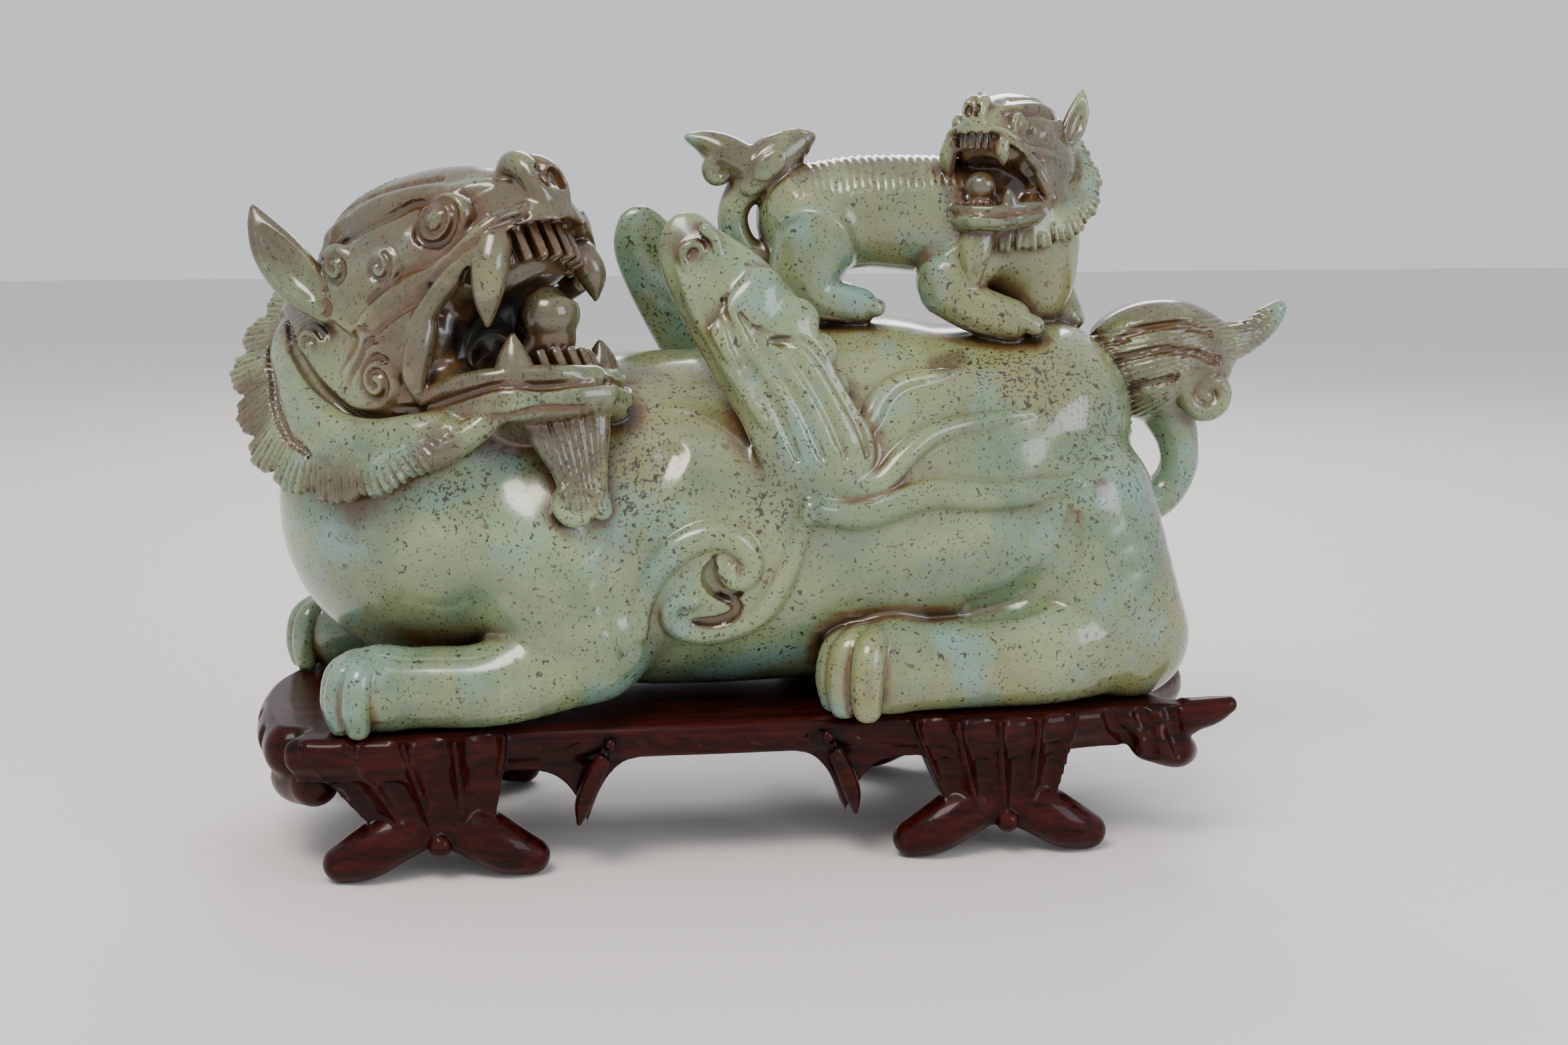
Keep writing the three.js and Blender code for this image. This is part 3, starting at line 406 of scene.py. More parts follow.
def head(place, gape=0.0, twist=0.0, combed=True):
    """A guardian lion's open-mouthed head in its own frame, on a grid of its own.

    gape opens the mouth further, twist lowers the muzzle's far side and combed gives the crown hair.
    """
    reach = 76 * place.scale
    clay = Clay(place.origin - reach, place.origin + reach, STONE_STEP)
    size = place.scale
    turn = place.axes

    def settled(points):
        """The muzzle drops a little towards its far side."""
        made = np.array(points, float)
        made[..., 2] -= twist * (made[..., 1] + 18) * np.clip((made[..., 0] - 8) / 26, 0, 1)
        return place.at(made)

    def tube(stations, blend, cut=False, flat=None, mirror=True):
        """A stroke in the head's frame, on both sides unless mirror is off."""
        for side in (NEAR, FAR_SIDE) if mirror else (1,):
            sided = np.array(stations, float)
            sided[:, 1] *= side
            pressed = None if flat is None else (turn @ (np.array(flat[0]) * [1, side, 1]), flat[1])
            clay.tube(settled(sided), blend * size, cut, flat=pressed)

    def egg(centre, radii, blend, cut=False, mirror=False):
        """An ellipsoid in the head's frame, on both sides where mirror is on."""
        for side in (NEAR, FAR_SIDE) if mirror else (1,):
            spot = np.array(centre, float) * [1, side, 1]
            clay.egg(settled(spot), np.array(radii) * size, blend * size, cut, turn)

    def groove(points, radius, depth):
        """A cut line on both sides of the head."""
        for side in (NEAR, FAR_SIDE):
            sided = np.array(points, float) * [1, side, 1]
            clay.groove(settled(sided), np.array(radius) * size, depth * size, 0.5 * size)

    def ridge(points, radii, rise, blend=1.0):
        """A raised cord on both sides of the head."""
        for side in (NEAR, FAR_SIDE):
            sided = np.array(points, float) * [1, side, 1]
            clay.ridge(settled(sided), np.array(radii) * size, rise, blend * size)

    def ring(centre, wide, high, radius, depth):
        """An oval cut round a centre, on both sides."""
        angles = np.linspace(0, 2 * math.pi, 17)
        groove([[centre[0] + wide * math.cos(a), centre[1], centre[2] + high * math.sin(a)] for a in angles],
               radius, depth)

    def curls(centre, radius, turns, start):
        """A low round mound with a spiral cut into it, on both sides."""
        egg(centre, [radius, 2.6, radius], 0.8, mirror=True)
        made = np.array(scroll(centre, radius, turns, start, 0.9))
        made[:, 1] += 2.4
        groove(made[:, :3], 0.9, 1.2)

    # Skull, muzzle, throat and cheeks
    egg([-4, 0, 16], [33, 27, 26], 4)
    tube([[-8, 0, 24, 19], [16, 0, 23, 16], [32, 0, 20, 12], [40, 0, 17, 9]], 5, mirror=False)
    egg([22, 0, 11], [27, 22, 12], 4)
    tube([[-30, 0, -2, 25], [-10, 0, -16, 21], [10, 0, -25, 14], [26, 0, -28, 8]], 5, mirror=False)
    egg([0, 17, 0], [16, 12, 15], 4, mirror=True)
    egg([-18, 16, -9], [17, 14, 17], 4, mirror=True)
    egg([-2, 17, -19], [17, 11, 10], 4, mirror=True)
    tube([[-12, 19, -17, 9], [6, 20, -23, 6.6], [22, 19, -27, 5.6], [28, 13, -30, 5.2],
          [34, 6, -30.6, 5], [36, 0, -30.6, 5]], 2)
    egg([22, 0, -29], [17, 15, 6], 3)

    # Mouth
    egg([31, 0, -9 - gape / 2], [27, 18, 12.5 + gape / 2], 1.2, cut=True)
    egg([25, 0, -8 - gape / 2], [15.5, 30, 9.6 + gape / 2], 1.2, cut=True)

    # Upper lip, the folds over it and the lower lip's two folds
    tube([[4, 25, -6, 2.4], [9, 25, -2, 2.8], [18, 23.4, 2.4, 2.9], [28, 21.6, 6, 3], [37, 17, 11, 2.8],
          [41, 10, 15, 2.6], [43, 0, 15.6, 2.6]], 0.9)
    ridge([[-2, 25, 7.4], [12, 25, 9.4], [24, 23, 9.6], [32, 21, 11], [40, 17, 15.4], [45, 10, 17]],
          [1.4, 2.4, 2.6, 2.6, 2.4, 1.8], 0.55)
    groove([[-4, 25, 1], [8, 25, 4], [20, 24, 6.4], [31, 21, 8.4], [40, 17, 12], [45, 10, 14]],
           [0.8, 1.1, 1.2, 1.2, 1.1, 0.9], 1.1)
    groove([[0, 25, 11], [12, 25, 13.4], [24, 23, 13.2], [33, 20, 15.4], [38, 15, 20]],
           [0.8, 1.1, 1.2, 1.1, 0.8], 1.0)
    tube([[-1, 24, -15.5, 2.2], [8, 24.4, -17.4, 2.4], [21, 22.6, -20.8, 2.5], [30, 15.6, -23.6, 2.5],
          [35, 9, -25, 2.5], [37, 0, -25.4, 2.5]], 0.8)
    groove([[-8, 25, -16], [6, 25, -20.6], [20, 23, -24.2], [31, 16, -27.4], [37, 9, -28.6], [40, 0, -29]],
           [0.9, 1.2, 1.2, 1.2, 1.1, 1.1], 1.2)
    groove([[-14, 25, -21], [4, 24, -26], [20, 22, -29], [30, 15, -32], [36, 8, -34]],
           [0.8, 1.1, 1.1, 1, 0.8], 0.9)

    # Nose: an upright knob with deep nostrils
    egg([42, 0, 20], [7, 6, 8], 2.4)
    tube([[35, 1, 28, 3], [41, 2.6, 31, 3.2], [45.5, 3.6, 28, 3.4], [47, 3.6, 21.6, 3],
          [46.6, 1.4, 17.6, 2.6]], 1.4)
    egg([48.2, 2.8, 24], [2.4, 1.9, 3.6], 0.8, cut=True, mirror=True)

    # Eyes: a low mound cut with two rings round a small ball
    egg([26, 16.4, 20.6], [9, 5, 7], 2, mirror=True)
    ring([26, 21, 20.6], 7.8, 6, 1.1, 1.4)
    ring([26, 22, 20.6], 4.6, 3.6, 0.8, 1.0)
    egg([26, 20.6, 20.6], [2, 1.6, 2], 0.4, mirror=True)

    # Brows and the furrows of the forehead
    ridge([[-13, 19, 35.5], [-2, 18.5, 32.6], [7.3, 18, 34], [19.7, 16, 32.4], [31, 12, 29.4], [37, 8, 28]],
          [1.6, 3, 3.6, 3.6, 2.8, 1.6], 0.6, 1.4)
    groove([[-14, 22, 31], [-4, 22, 28.4], [6, 22, 29.4], [16, 20, 29], [26, 17.6, 28.4], [36, 13, 25]],
           [0.7, 1.2, 1.4, 1.3, 1.1, 0.7], 1.4)
    groove([[-14, 14, 41], [0, 14, 39.6], [14, 12, 37.4], [24, 9, 34.4]], [0.7, 1.1, 1.1, 0.7], 1.0)

    # Small flat curls on the temple and cheek, a spiral at the jaw's hinge and a curl below the ear
    curls([-6.3, 25, 24.4], 5.6, 1.3, 2.4)
    curls([7, 24, 17.6], 5, -1.2, 0.6)
    ridge([[-12, 27, 21], [-14, 28, 13], [-9, 29, 7.4], [2, 28, 8.6]], [1.3, 1.8, 1.8, 1.2], 0.6, 0.6)
    egg([-6, 25, -8.2], [8, 4.4, 8], 2, mirror=True)
    curls([-6, 27.6, -8.2], 7, 1.6, 0.5)
    groove([[2, 29, 0], [-6, 30, 2.4], [-14.4, 29, -3], [-16, 28, -10], [-11, 28, -17]], 0.9, 1.0)
    groove([[-1, 29, 4], [-8, 30, 6], [-17, 29, 1], [-20, 28, -9]], 0.8, 0.8)
    curls([-27.5, 24, 11], 6.4, 1.5, 0)
    curls([-15, 25, 17], 4.4, 1.2, 1)

    # Tongue, and the ball that lies on it
    tube([[2, 0, -20, 9], [16, 0, -18, 8], [28, 0, -12 - gape * 0.8, 7]], 1.5, mirror=False)
    egg([31, 0, -6.4 - gape * 0.8], [8, 8.2, 7.6], 1, mirror=False)

    # The recess behind the lip that the upper teeth stand in
    tube([[30, 19.5, 3, 3.6], [38.4, 13.5, 7, 4.6], [43, 7, 9, 5], [45, 0, 9.4, 5]], 0.8, cut=True)
    tube([[30, 16, -4, 5], [38, 11, 0, 6], [42, 0, 2, 6.4]], 0.8, cut=True)

    # Fangs, tusks at the mouth's corners and a close row of teeth in each jaw
    tube([[37, -16, 9, 4.6], [35, -18.6, 3, 4.8], [31.6, -19.6, -3, 3.6], [28, -19.6, -9, 0.9]], 0.6,
         mirror=False)
    tube([[38, 13, 9, 4.2], [38, 14, 4, 3.8], [36, 14, -2, 0.9]], 0.6, mirror=False)
    tube([[26, 15.4, -22, 5.6], [28, 15.6, -18, 3.8], [30.4, 15.4, -13, 0.9]], 0.6)
    tube([[13, 24.6, -2, 3], [9.4, 26.6, -7, 3.7], [5.4, 27.4, -12.6, 3.1], [3.6, 27, -19, 0.9]], 0.5)
    for share in np.linspace(-1, 1, TEETH):
        lean = turn @ Place([0, 0, 0], share * 40).axes
        for front, z, half_height in ((42.4, 9.4 + gape * 0.1, 5), (33.6, -21.4 - gape * 0.5, 4.8)):
            spot = settled([front - 7 * share ** 2, math.sin(share * 1.1) * 12, z])
            clay.block(spot, np.array([2.2, 1.3, half_height]) * size, 0.6 * size, 0.3 * size, lean)

    # Ears: broad leaves whose hollows face forward and out
    tube([[-17, 24, 18, 5], [-18.6, 27.6, 26, 6.8], [-20.6, 29.4, 35, 6.2], [-21.4, 30.2, 42.6, 3.8],
          [-21.4, 30.4, 48.4, 1.1]], 1.5, flat=((0.69, 0.72, 0), 0.6))
    tube([[-14.6, 29.6, 20.6, 2.4], [-15, 32.2, 27, 5.4], [-17, 33.6, 35, 4.8], [-19, 33, 41.6, 2]], 0.5,
         cut=True)
    # Painted shade inside this mouth
    painted_mouth_shade.append((*place.at([12, 0, -8]), 31 * size))
    if combed:
        for side in (NEAR, FAR_SIDE):
            comb(place.at([[4, 0, 44], [-4, side * 22, 37]]), place.at([[-34, 0, 26], [-34, side * 22, 14]]),
                 14, 5, 0.8)
    return clay


def lion_head():
    """The lion's head, turned back over its near shoulder and lifted."""
    return head(Place([-88, -14, 101], turn=-44, tilt=27, roll=3), twist=0.22)


def cub_head():
    """The cub's head, half the size, turned to the near side with a wide mouth."""
    return head(Place([62, -6, 141.5], turn=-128, tilt=10, scale=0.51), gape=7, combed=False)


# Ruff, beard and tail

def fan(clay, inner, outer, lobes, strands, radii, scallop=0.14, blend=2.2, crease=0.7, lines=9,
        spread=9):
    """A collar of hair from one curve to another, whose edge is cut into rounded lobes.

    radii are those of a strand at its root, middle and tip, scallop is how much shorter a lobe's outer
    strands are, crease is the seam between lobes, and each lobe has as many combed lines as lines says.
    """
    count = lobes * strands
    starts, ends = evenly(inner, count + 1), evenly(outer, count + 1)
    low = np.minimum(starts.min(0), ends.min(0)) - FAR
    high = np.maximum(starts.max(0), ends.max(0)) + FAR
    for lobe in range(lobes):
        own = Clay(low, high, clay.step)
        for strand in range(strands + 1):
            index = lobe * strands + strand
            start, end = starts[index], ends[index]
            share = 2 * strand / strands - 1
            tip = start + (end - start) * (1 - scallop * share * share)
            middle = start * 0.45 + tip * 0.55
            slim = 1 - 0.16 * share * share
            own.tube([[*start, radii[0]], [*middle, radii[1] * slim], [*tip, radii[2] * slim]], blend,
                     steps=4)
        clay.take(own, crease)
    comb(inner, outer, lobes * lines, spread, 1.0)


def ruff(clay):
    """A narrow collar of combed hair round the cheeks, and the smooth pale band inside it."""
    clay.tube([[-122, 14, 99, 15], [-118, -3, 89, 15], [-111, -16, 81, 13.5], [-100, -27, 79, 10.5],
               [-86, -36, 84, 7]], 3)
    inner = [[-128, 30, 106], [-133, 20, 99], [-133, 8, 93], [-132, -4, 86], [-131, -14, 80], [-127, -25, 74],
             [-120, -35, 70.5], [-110, -42, 70], [-100, -45.5, 73.5], [-90, -48, 78]]
    outer = [[-134, 34, 111], [-140, 24, 103], [-146, 12, 94], [-147, 4, 86], [-144.5, -6, 77],
             [-140, -18, 68], [-130, -32, 62.5], [-115, -43, 61.5], [-103, -48, 67], [-86, -50, 78]]
    fan(clay, inner, outer, 9, 4, (4, 3.4, 2.2), 0.24, 1.8, 0.6, 7, 4)
    clay.groove([[-128, 12, 100], [-127, -4, 92], [-123, -16, 84], [-116, -27, 79], [-106, -34, 79],
                 [-96, -39, 81], [-86, -41, 85]], 3, 2.6, 1.5)
    clay.tube([[-130, 18, 101, 5.4], [-132, 4, 95, 6.2], [-129.5, -8, 88, 6.6], [-126, -20, 80.5, 6.6],
               [-119, -31, 75.5, 6.4], [-109, -38.5, 74.5, 6.2], [-98, -43, 77, 5.6],
               [-87, -45, 80, 4.4]], 0.9)
    # The ruff's free end under the jaw, and the collar on the nape
    clay.tube([[-99, -47, 70, 3], [-91, -50, 74, 3.6], [-82, -50, 80, 3.4], [-75, -48, 85, 2.4]], 0.8)
    fan(clay, [[-104, 16, 114], [-88, 22, 110], [-74, 20, 100]],
        [[-116, 34, 96], [-94, 42, 86], [-66, 38, 80]], 4, 4, (5.5, 6, 3.4))


def beard(clay):
    """A tapering lock under the chin that ends in a curl."""
    for strand in (-1.5, -0.5, 0.5, 1.5):
        clay.tube([[-62.5 + 5.4 * strand, -42, 86 + strand, 4], [-60 + 4.4 * strand, -46.5, 78 + strand, 3.8],
                   [-58 + 2.8 * strand, -48.5, 69, 3.2], [-56.5 + 2 * strand, -48.5, 61, 2.8]], 0.9)
    clay.tube(scroll([-58.5, -50, 59], 6.2, 1.4, -0.2, 2.6, 2.2), 0.7)
    comb([[-72, -44, 86], [-52, -44, 88]], [[-62, -50, 62], [-52, -50, 64]], 8, 7, 0.9)


def tail(clay):
    """A tail that loops up behind the rump and opens into a round combed bun with a pointed tip."""
    clay.tube([[90, 2, 47, 9], [100, 3, 46, 7], [111, 4, 49, 5.8], [116.5, 4, 57, 5.4], [116, 4, 66, 6],
               [112, 4, 76, 8]], 1.2)
    own = Clay([76, -26, 56], [151, 34, 118], STONE_STEP)
    own.egg(np.array([109.5, 4, 88.5]), [22, 14.5, 17.5], 1)
    own.tube([[118, 4, 94, 9], [128, 4, 93, 6.4], [136, 4, 95, 4.6], [142, 4, 99.5, 3.8],
              [145, 4, 103, 2]], 2)
    own.tube(scroll([121, -7, 80], 7.6, 1.4, 1.6, 3, 2.6), 0.8)
    for path in ([[92, -9, 96], [100, -12, 102], [112, -12, 103], [124, -9, 99]],
                 [[90, -9, 88], [98, -13, 92], [110, -14, 93], [126, -9, 90]],
                 [[94, -10, 78], [102, -14, 82], [110, -14, 84]]):
        for side in (NEAR, FAR_SIDE):
            sided = [[x, 4 - side * (y - 4), z] for x, y, z in path]
            own.groove(sided, 1.3, 1.4, 0.8)
    clay.take(own, 1.2)
    for side in (NEAR, FAR_SIDE):
        comb([[88, side * 8 + 4, 98], [88, side * 10 + 4, 84], [100, side * 12 + 4, 70]],
             [[144, side * 5 + 4, 104], [134, side * 8 + 4, 92], [124, side * 12 + 4, 88]], 18, 8, 0.9)


# The cub

def cub(clay):
    """The cub that stands along the rump, with its head turned to the near side."""
    own = Clay([-30, -32, 92], [104, 30, 168], STONE_STEP)
    own.tube([[9, 0, 129, 15.5], [25, 0, 131, 15.5], [50, 0, 129, 17], [66, 0, 124, 18]], 3)
    own.tube([[64, 0, 128, 17], [68, -2, 142, 14]], 4, steps=3)
    own.egg(np.array([68, 0, 115]), [15.5, 13, 18], 3)
    for side in (NEAR, FAR_SIDE):
        own.tube([[9, side * 7, 125, 12.5], [5, side * 10, 114, 9.4]], 2)
        own.tube([[4, side * 11, 110.5, 7.4], [12, side * 12.5, 107.5, 5.8], [20, side * 13, 106, 5]], 1)
        for toe in (-1, 0, 1):
            own.tube([[19, side * 13 + toe * 2.6, 107.5, 2.4],
                      [25 - abs(toe), side * 13 + toe * 3.2, 105.6, 2.4]], 0.5)
    own.tube([[56, -7, 125, 11], [45, -11, 113, 9]], 2)
    own.tube([[44, -12, 110, 7.4], [52, -15, 105, 6.6], [61, -17, 102, 5.8]], 1.2)
    own.tube([[72, 8, 120, 10], [78, 8, 108, 7.4], [82, 8, 102, 6]], 1.5)
    for toe in (-1, 0, 1):
        own.tube([[62, -17 + toe * 3, 103, 2.8], [68 - abs(toe), -17 + toe * 3.4, 100.5, 2.6]], 0.5)
        own.tube([[80, 8 + toe * 3, 102, 2.8], [86 - abs(toe), 8 + toe * 3.4, 100, 2.6]], 0.5)
    # Rolled edges of the haunch and the shoulder, and the ruff
    own.ridge([[18, -14, 118], [14, -16, 126], [7, -15, 130], [0, -11, 128]], [1.6, 2, 2, 1.4], 0.5)
    own.ridge([[44, -15, 118], [50, -17, 124], [58, -17, 128], [64, -15, 133]], [1.4, 1.8, 1.8, 1.4], 0.5)
    fan(own, [[80, 9, 150], [84, -3, 140], [77, -13, 131], [64, -17, 128], [54, -14, 129]],
        [[85.5, 10, 151], [88, -4, 138], [79.5, -15.5, 126.5], [63.5, -19.5, 122], [52, -16, 123]], 6, 3,
        (2.8, 2.6, 1.8), 0.16, 1.4, 0.5, 5, 2.4)
    own.tube([[79, 8, 146, 2.8], [81, -4, 138, 3], [73, -13.5, 132, 3.2], [62, -16.5, 130, 3],
              [55, -13, 131, 2.6]], 0.7)
    own.take(cub_head(), 0.8)
    # Beard
    own.tube([[53, -16, 128, 4.6], [50.5, -18.5, 121, 4.4], [50, -18.5, 115.5, 2.8],
              [50.5, -18, 111.5, 1.2]], 0.8)
    for away in (-2.2, 0, 2.2):
        own.groove([[53 + away, -23, 128], [50.5 + away, -25, 120], [50 + away * 0.6, -24, 113]], 0.5,
                   0.5, 0.3)
    # Tail
    own.tube([[2, 0, 118, 4.8], [-9, 0, 120, 4.4], [-13, 0, 130, 4.2], [-8, 0, 141, 4.8]], 1)
    own.tube([[-9, 0, 138, 5.4], [-3, 0, 144, 7], [4, 0, 149, 4.4], [8, 0, 151, 2]], 0.8)
    own.tube([[-6, 0, 141, 5.6], [-14, 0, 146, 5.6], [-20, 0, 149.5, 3.4], [-25, 0, 151, 1.2]], 0.8)
    own.tube(scroll([-17, -3, 142], 4.2, 1.4, 0.5, 1.9), 0.6)
    for side in (NEAR, FAR_SIDE):
        comb([[-2, 0, 146], [58, 0, 147]], [[2, side * 12, 138], [56, side * 12, 140]], 26, 3.4, 0.5)
    comb([[-8, -7, 136], [-8, 7, 136]], [[4, -7, 152], [4, 7, 152]], 10, 6, 0.8)
    clay.take(own, 1.4)


def comb_lines(clay):
    """Cuts the combed lines into the surface."""
    near = np.nonzero(np.abs(clay.field) < 1.6)
    points = ((np.column_stack(near) + clay.first) * clay.step).astype(np.float32)
    phase, amount = comb_values(points)
    clay.field[near] -= (COMB_DEPTH * amount * np.sin(phase)).astype(np.float32)


def stone_clay():
    """The whole carving, cut flat underneath."""
    clay = body_clay()
    for side in (NEAR, FAR_SIDE):
        flank_relief(clay, side)
        wing(clay, side)
    tail(clay)
    cub(clay)
    ruff(clay)
    clay.take(lion_head(), 0.9)
    # The grooves on both sides of the pale band between cheek and ruff
    clay.groove([[-130, 6, 99], [-126.5, -8, 92], [-122.5, -21, 82.5], [-116, -31, 77], [-106, -37, 78],
                 [-95, -41, 80]], [0.8, 1.5, 1.6, 1.6, 1.5, 0.8], 1.5, 0.8)
    clay.groove([[-137, 8, 94], [-136, -4, 87], [-134.5, -14, 80], [-130, -25, 73.5], [-124.5, -32.5, 70.5]],
                [0.8, 1.3, 1.4, 1.3, 0.8], 1.4, 0.8)
    beard(clay)
    comb_lines(clay)
    clay.field = np.maximum(clay.field, -clay.along(2)).astype(np.float32)
    return clay


# The stand

def outline_distance(x, y, corners):
    """Distances in the plane to a closed outline, negative inside."""
    best = np.full(np.broadcast_shapes(x.shape, y.shape), 1e9, dtype=np.float32)
    sign = np.ones_like(best)
    for (ax, ay), (bx, by) in zip(corners, np.roll(corners, -1, axis=0)):
        ex, ey = bx - ax, by - ay
        wx, wy = x - ax, y - ay
        share = np.clip((wx * ex + wy * ey) / max(ex * ex + ey * ey, 1e-9), 0, 1)
        best = np.minimum(best, (wx - ex * share) ** 2 + (wy - ey * share) ** 2)
        above = (y >= ay) & (y < by) & (ex * wy < ey * wx)
        below = (y < ay) & (y >= by) & (ex * wy > ey * wx)
        sign = np.where(above | below, -sign, sign)
    return sign * np.sqrt(best)


LEFT_LEG, RIGHT_LEG = -103.0, 52.0  # where the slab swells over the legs
MIDDLE = -22.0  # the middle of the arch
SLAB_THICK = 9.0  # the slab without its apron
SLAB_ROUND = 3.5  # radius of the slab's edge
APRON_DROPS = (-57.0, 12.0)  # the apron's two pointed drops
DROP_LENGTH = 15.0  # how far they hang
APRON_THICK = 11.0  # the wall of the apron
# Each leg: the middle of its fan at the slab, half its width there and the middle of its waist
LEGS = ((-104.0, 26.0, -96.5), (51.5, 22.0, 54.5))
WAIST_HALF = 13.5  # half a leg's width at its waist
WAIST_Z = 12.5  # height of the waist
FAN_TOP = 37.5  # height where a fan is widest
FLUTES = 4  # hollows across a leg
CLOUD_START = 104.0  # past this X the right end's carving may stand over the slab
CLOUD_RISE = 8.0  # how far it may stand over the slab


def slab_outline():
    """The slab's plan: wavy long sides that swell over the legs, and lobed ends."""
    half = [[-142, 0], [-138, 22], [-130, 36], [LEFT_LEG - 30, 48], [LEFT_LEG, 51], [LEFT_LEG + 30, 45],
            [MIDDLE, 46], [RIGHT_LEG - 30, 45], [RIGHT_LEG, 51], [RIGHT_LEG + 30, 45], [108, 45], [101, 28],
            [116, 6]]
    near = [[x, -y] for x, y in half[1:]]
    closed = half + near[::-1]
    return smooth_line(closed + closed[:1])[:-1]


def stand_clay():
    """The slab, its apron with an arch between two drops, the legs and the carved ends."""
    clay = Clay([-152, -60, -3], [128, 60, 46], STAND_STEP)
    where, (x, y, z) = clay.window([-152, -60, -3], [128, 60, 46])
    plan = outline_distance(x[:, :, 0], y[:, :, 0], slab_outline())[:, :, None]
    middle = SLAB_TOP - SLAB_THICK / 2
    over = [plan + SLAB_ROUND, np.abs(z - middle) - (SLAB_THICK / 2 - SLAB_ROUND)]
    slab = np.sqrt(sum(np.maximum(v, 0) ** 2 for v in over)) + np.minimum(np.maximum(*over), 0) - SLAB_ROUND
    # The apron is a wall under the slab's edge
    hang = sum(DROP_LENGTH * np.exp(-np.abs((x - drop) / 4.6) ** 1.1) for drop in APRON_DROPS)
    between = 4 * np.clip((x - APRON_DROPS[0]) / 14, 0, 1) * np.clip((APRON_DROPS[1] - x) / 14, 0, 1)
    bottom = SLAB_TOP - SLAB_THICK - 2.5 - hang + between
    wall = np.abs(plan + 8) - APRON_THICK / 2
    apron = np.maximum(wall, np.maximum(bottom - z, z - (SLAB_TOP - 4)) * 0.8)
    clay.field[where] = soft_min(slab, apron, 2.5).astype(np.float32)
    # A carved curl on each drop
    for drop in APRON_DROPS:
        turn = 1 if drop < MIDDLE else -1
        for side in (NEAR, FAR_SIDE):
            clay.tube([[drop + 6 * turn, side * 48, 36, 1.6], [drop + 2 * turn, side * 47.5, 28, 2.4],
                       [drop - turn, side * 45.5, 20, 2.4], [drop - 2.4 * turn, side * 44, 13.5, 0.7]], 1.6)
    for leg in LEGS:
        for side in (NEAR, FAR_SIDE):
            fan_leg(clay, leg, side)
    end_lobes(clay)
    return levelled(clay)


def fan_leg(clay, leg, side):
    """A leg like a folded fan, whose folds and round hollows meet at its waist over two toes."""
    top, top_half, waist = leg
    inner, outer = sorted((side * 8, side * 59))
    where, (x, y, z) = clay.window([top - 40, inner, 6], [top + 40, outer, 43])
    rise = np.clip((z - WAIST_Z) / (FAN_TOP - WAIST_Z), 0, 1)
    half = WAIST_HALF + (top_half - WAIST_HALF) * rise ** 0.8
    across = (x - (waist + (top - waist) * rise)) / half
    fold = np.abs(((np.clip(across, -1, 1) + 1) / 2 * FLUTES) % 1 * 2 - 1)
    hollow = (1.8 + 3.8 * rise) * (1 - fold ** 2)
    face = 48 + 5.6 * rise - 4 * across ** 2 - hollow
    part = np.maximum(np.maximum(np.abs(across) - 1, -1) * half, np.maximum(side * y - face, 30 - side * y))
    part = np.maximum(part, np.maximum(z - SLAB_TOP + 0.6, WAIST_Z - 3 - z)) * 0.75
    clay.field[where] = soft_min(clay.field[where], part, 1.2).astype(np.float32)
    own = Clay([waist - 42, -60, -3], [waist + 42, 60, 42], STAND_STEP)
    own.tube([[waist, side * 31, 34, 15], [waist, side * 36, 15, 9]], 3, steps=3)
    for foot in (-1, 1):
        own.tube([[waist + foot * 4, side * 40, 14, 6.6], [waist + foot * 11, side * 41.5, 11.5, 7.2],
                  [waist + foot * 18, side * 42.5, 7.6, 6.8], [waist + foot * 24.5, side * 42, 5, 5]], 1.2)
    own.egg(np.array([waist + 1, side * 46.6, 10]), [3, 2.8, 3], 0.5)
    clay.take(own, 1.2)


def end_lobes(clay):
    """Clouds and fungus lobes carved on both ends of the slab, with scooped sides."""
    clay.tube([[-133, -30, 33, 8], [-136, -10, 33, 8.5], [-136, 12, 33, 8.5], [-131, 32, 33, 8]], 3)
    clay.tube([[-128, -34, 25, 6.6], [-133, -22, 24, 7.4], [-131, -6, 24, 7]], 1)
    clay.tube([[-130, 8, 23, 6], [-132, 22, 24, 6.4], [-127, 34, 26, 6]], 1.2)
    clay.tube([[104, -42, 36, 5], [112, -43, 37.5, 4], [117, -44, 39.4, 2.4]], 2)
    clay.tube([[96, -42, 30, 6], [103, -41, 27, 5.4], [107, -37, 25, 4]], 1.5)
    clay.tube([[106, 0, 34, 7], [112, 4, 33, 7], [111, 12, 33, 6.5], [104, 22, 34, 6]], 2)
    clay.tube([[100, 40, 35, 6], [107, 42, 36, 4.5]], 2)
    clay.tube([[108, 14, 38, 3], [111, 16, 42, 2.4], [109, 17.5, 45, 1.8], [106.5, 18, 45.5, 1.2]], 1)
    for y in (-24, -8, 8, 24):
        clay.groove([[-146, y, 36], [-145, y + 2, 30], [-138, y + 4, 23]], 3.4, 2.2, 0.9)
    for x, y in ((84, -49), (92, -48), (100, -47)):
        clay.groove([[x, y, 39], [x + 1.5, y - 1, 33], [x + 3, y + 1, 27]], 2.6, 1.6, 0.9)
    for x in (-64, -50, -36, -22, -8, 6, 20):
        clay.groove([[x - 5, -48, 35], [x, -48, 32.5], [x + 5, -48, 35]], 1.2, 0.7, 0.6)


def levelled(clay):
    """The toes cut flat on the floor, and the slab flat on top except at the right end's carving."""
    heights = clay.along(2)
    rise = np.where(clay.along(0) > CLOUD_START, CLOUD_RISE, 0)[:, None, None]
    clay.field = np.maximum(clay.field, np.maximum(-heights, heights - SLAB_TOP - rise)).astype(np.float32)
    return clay


# Meshes and what their points carry

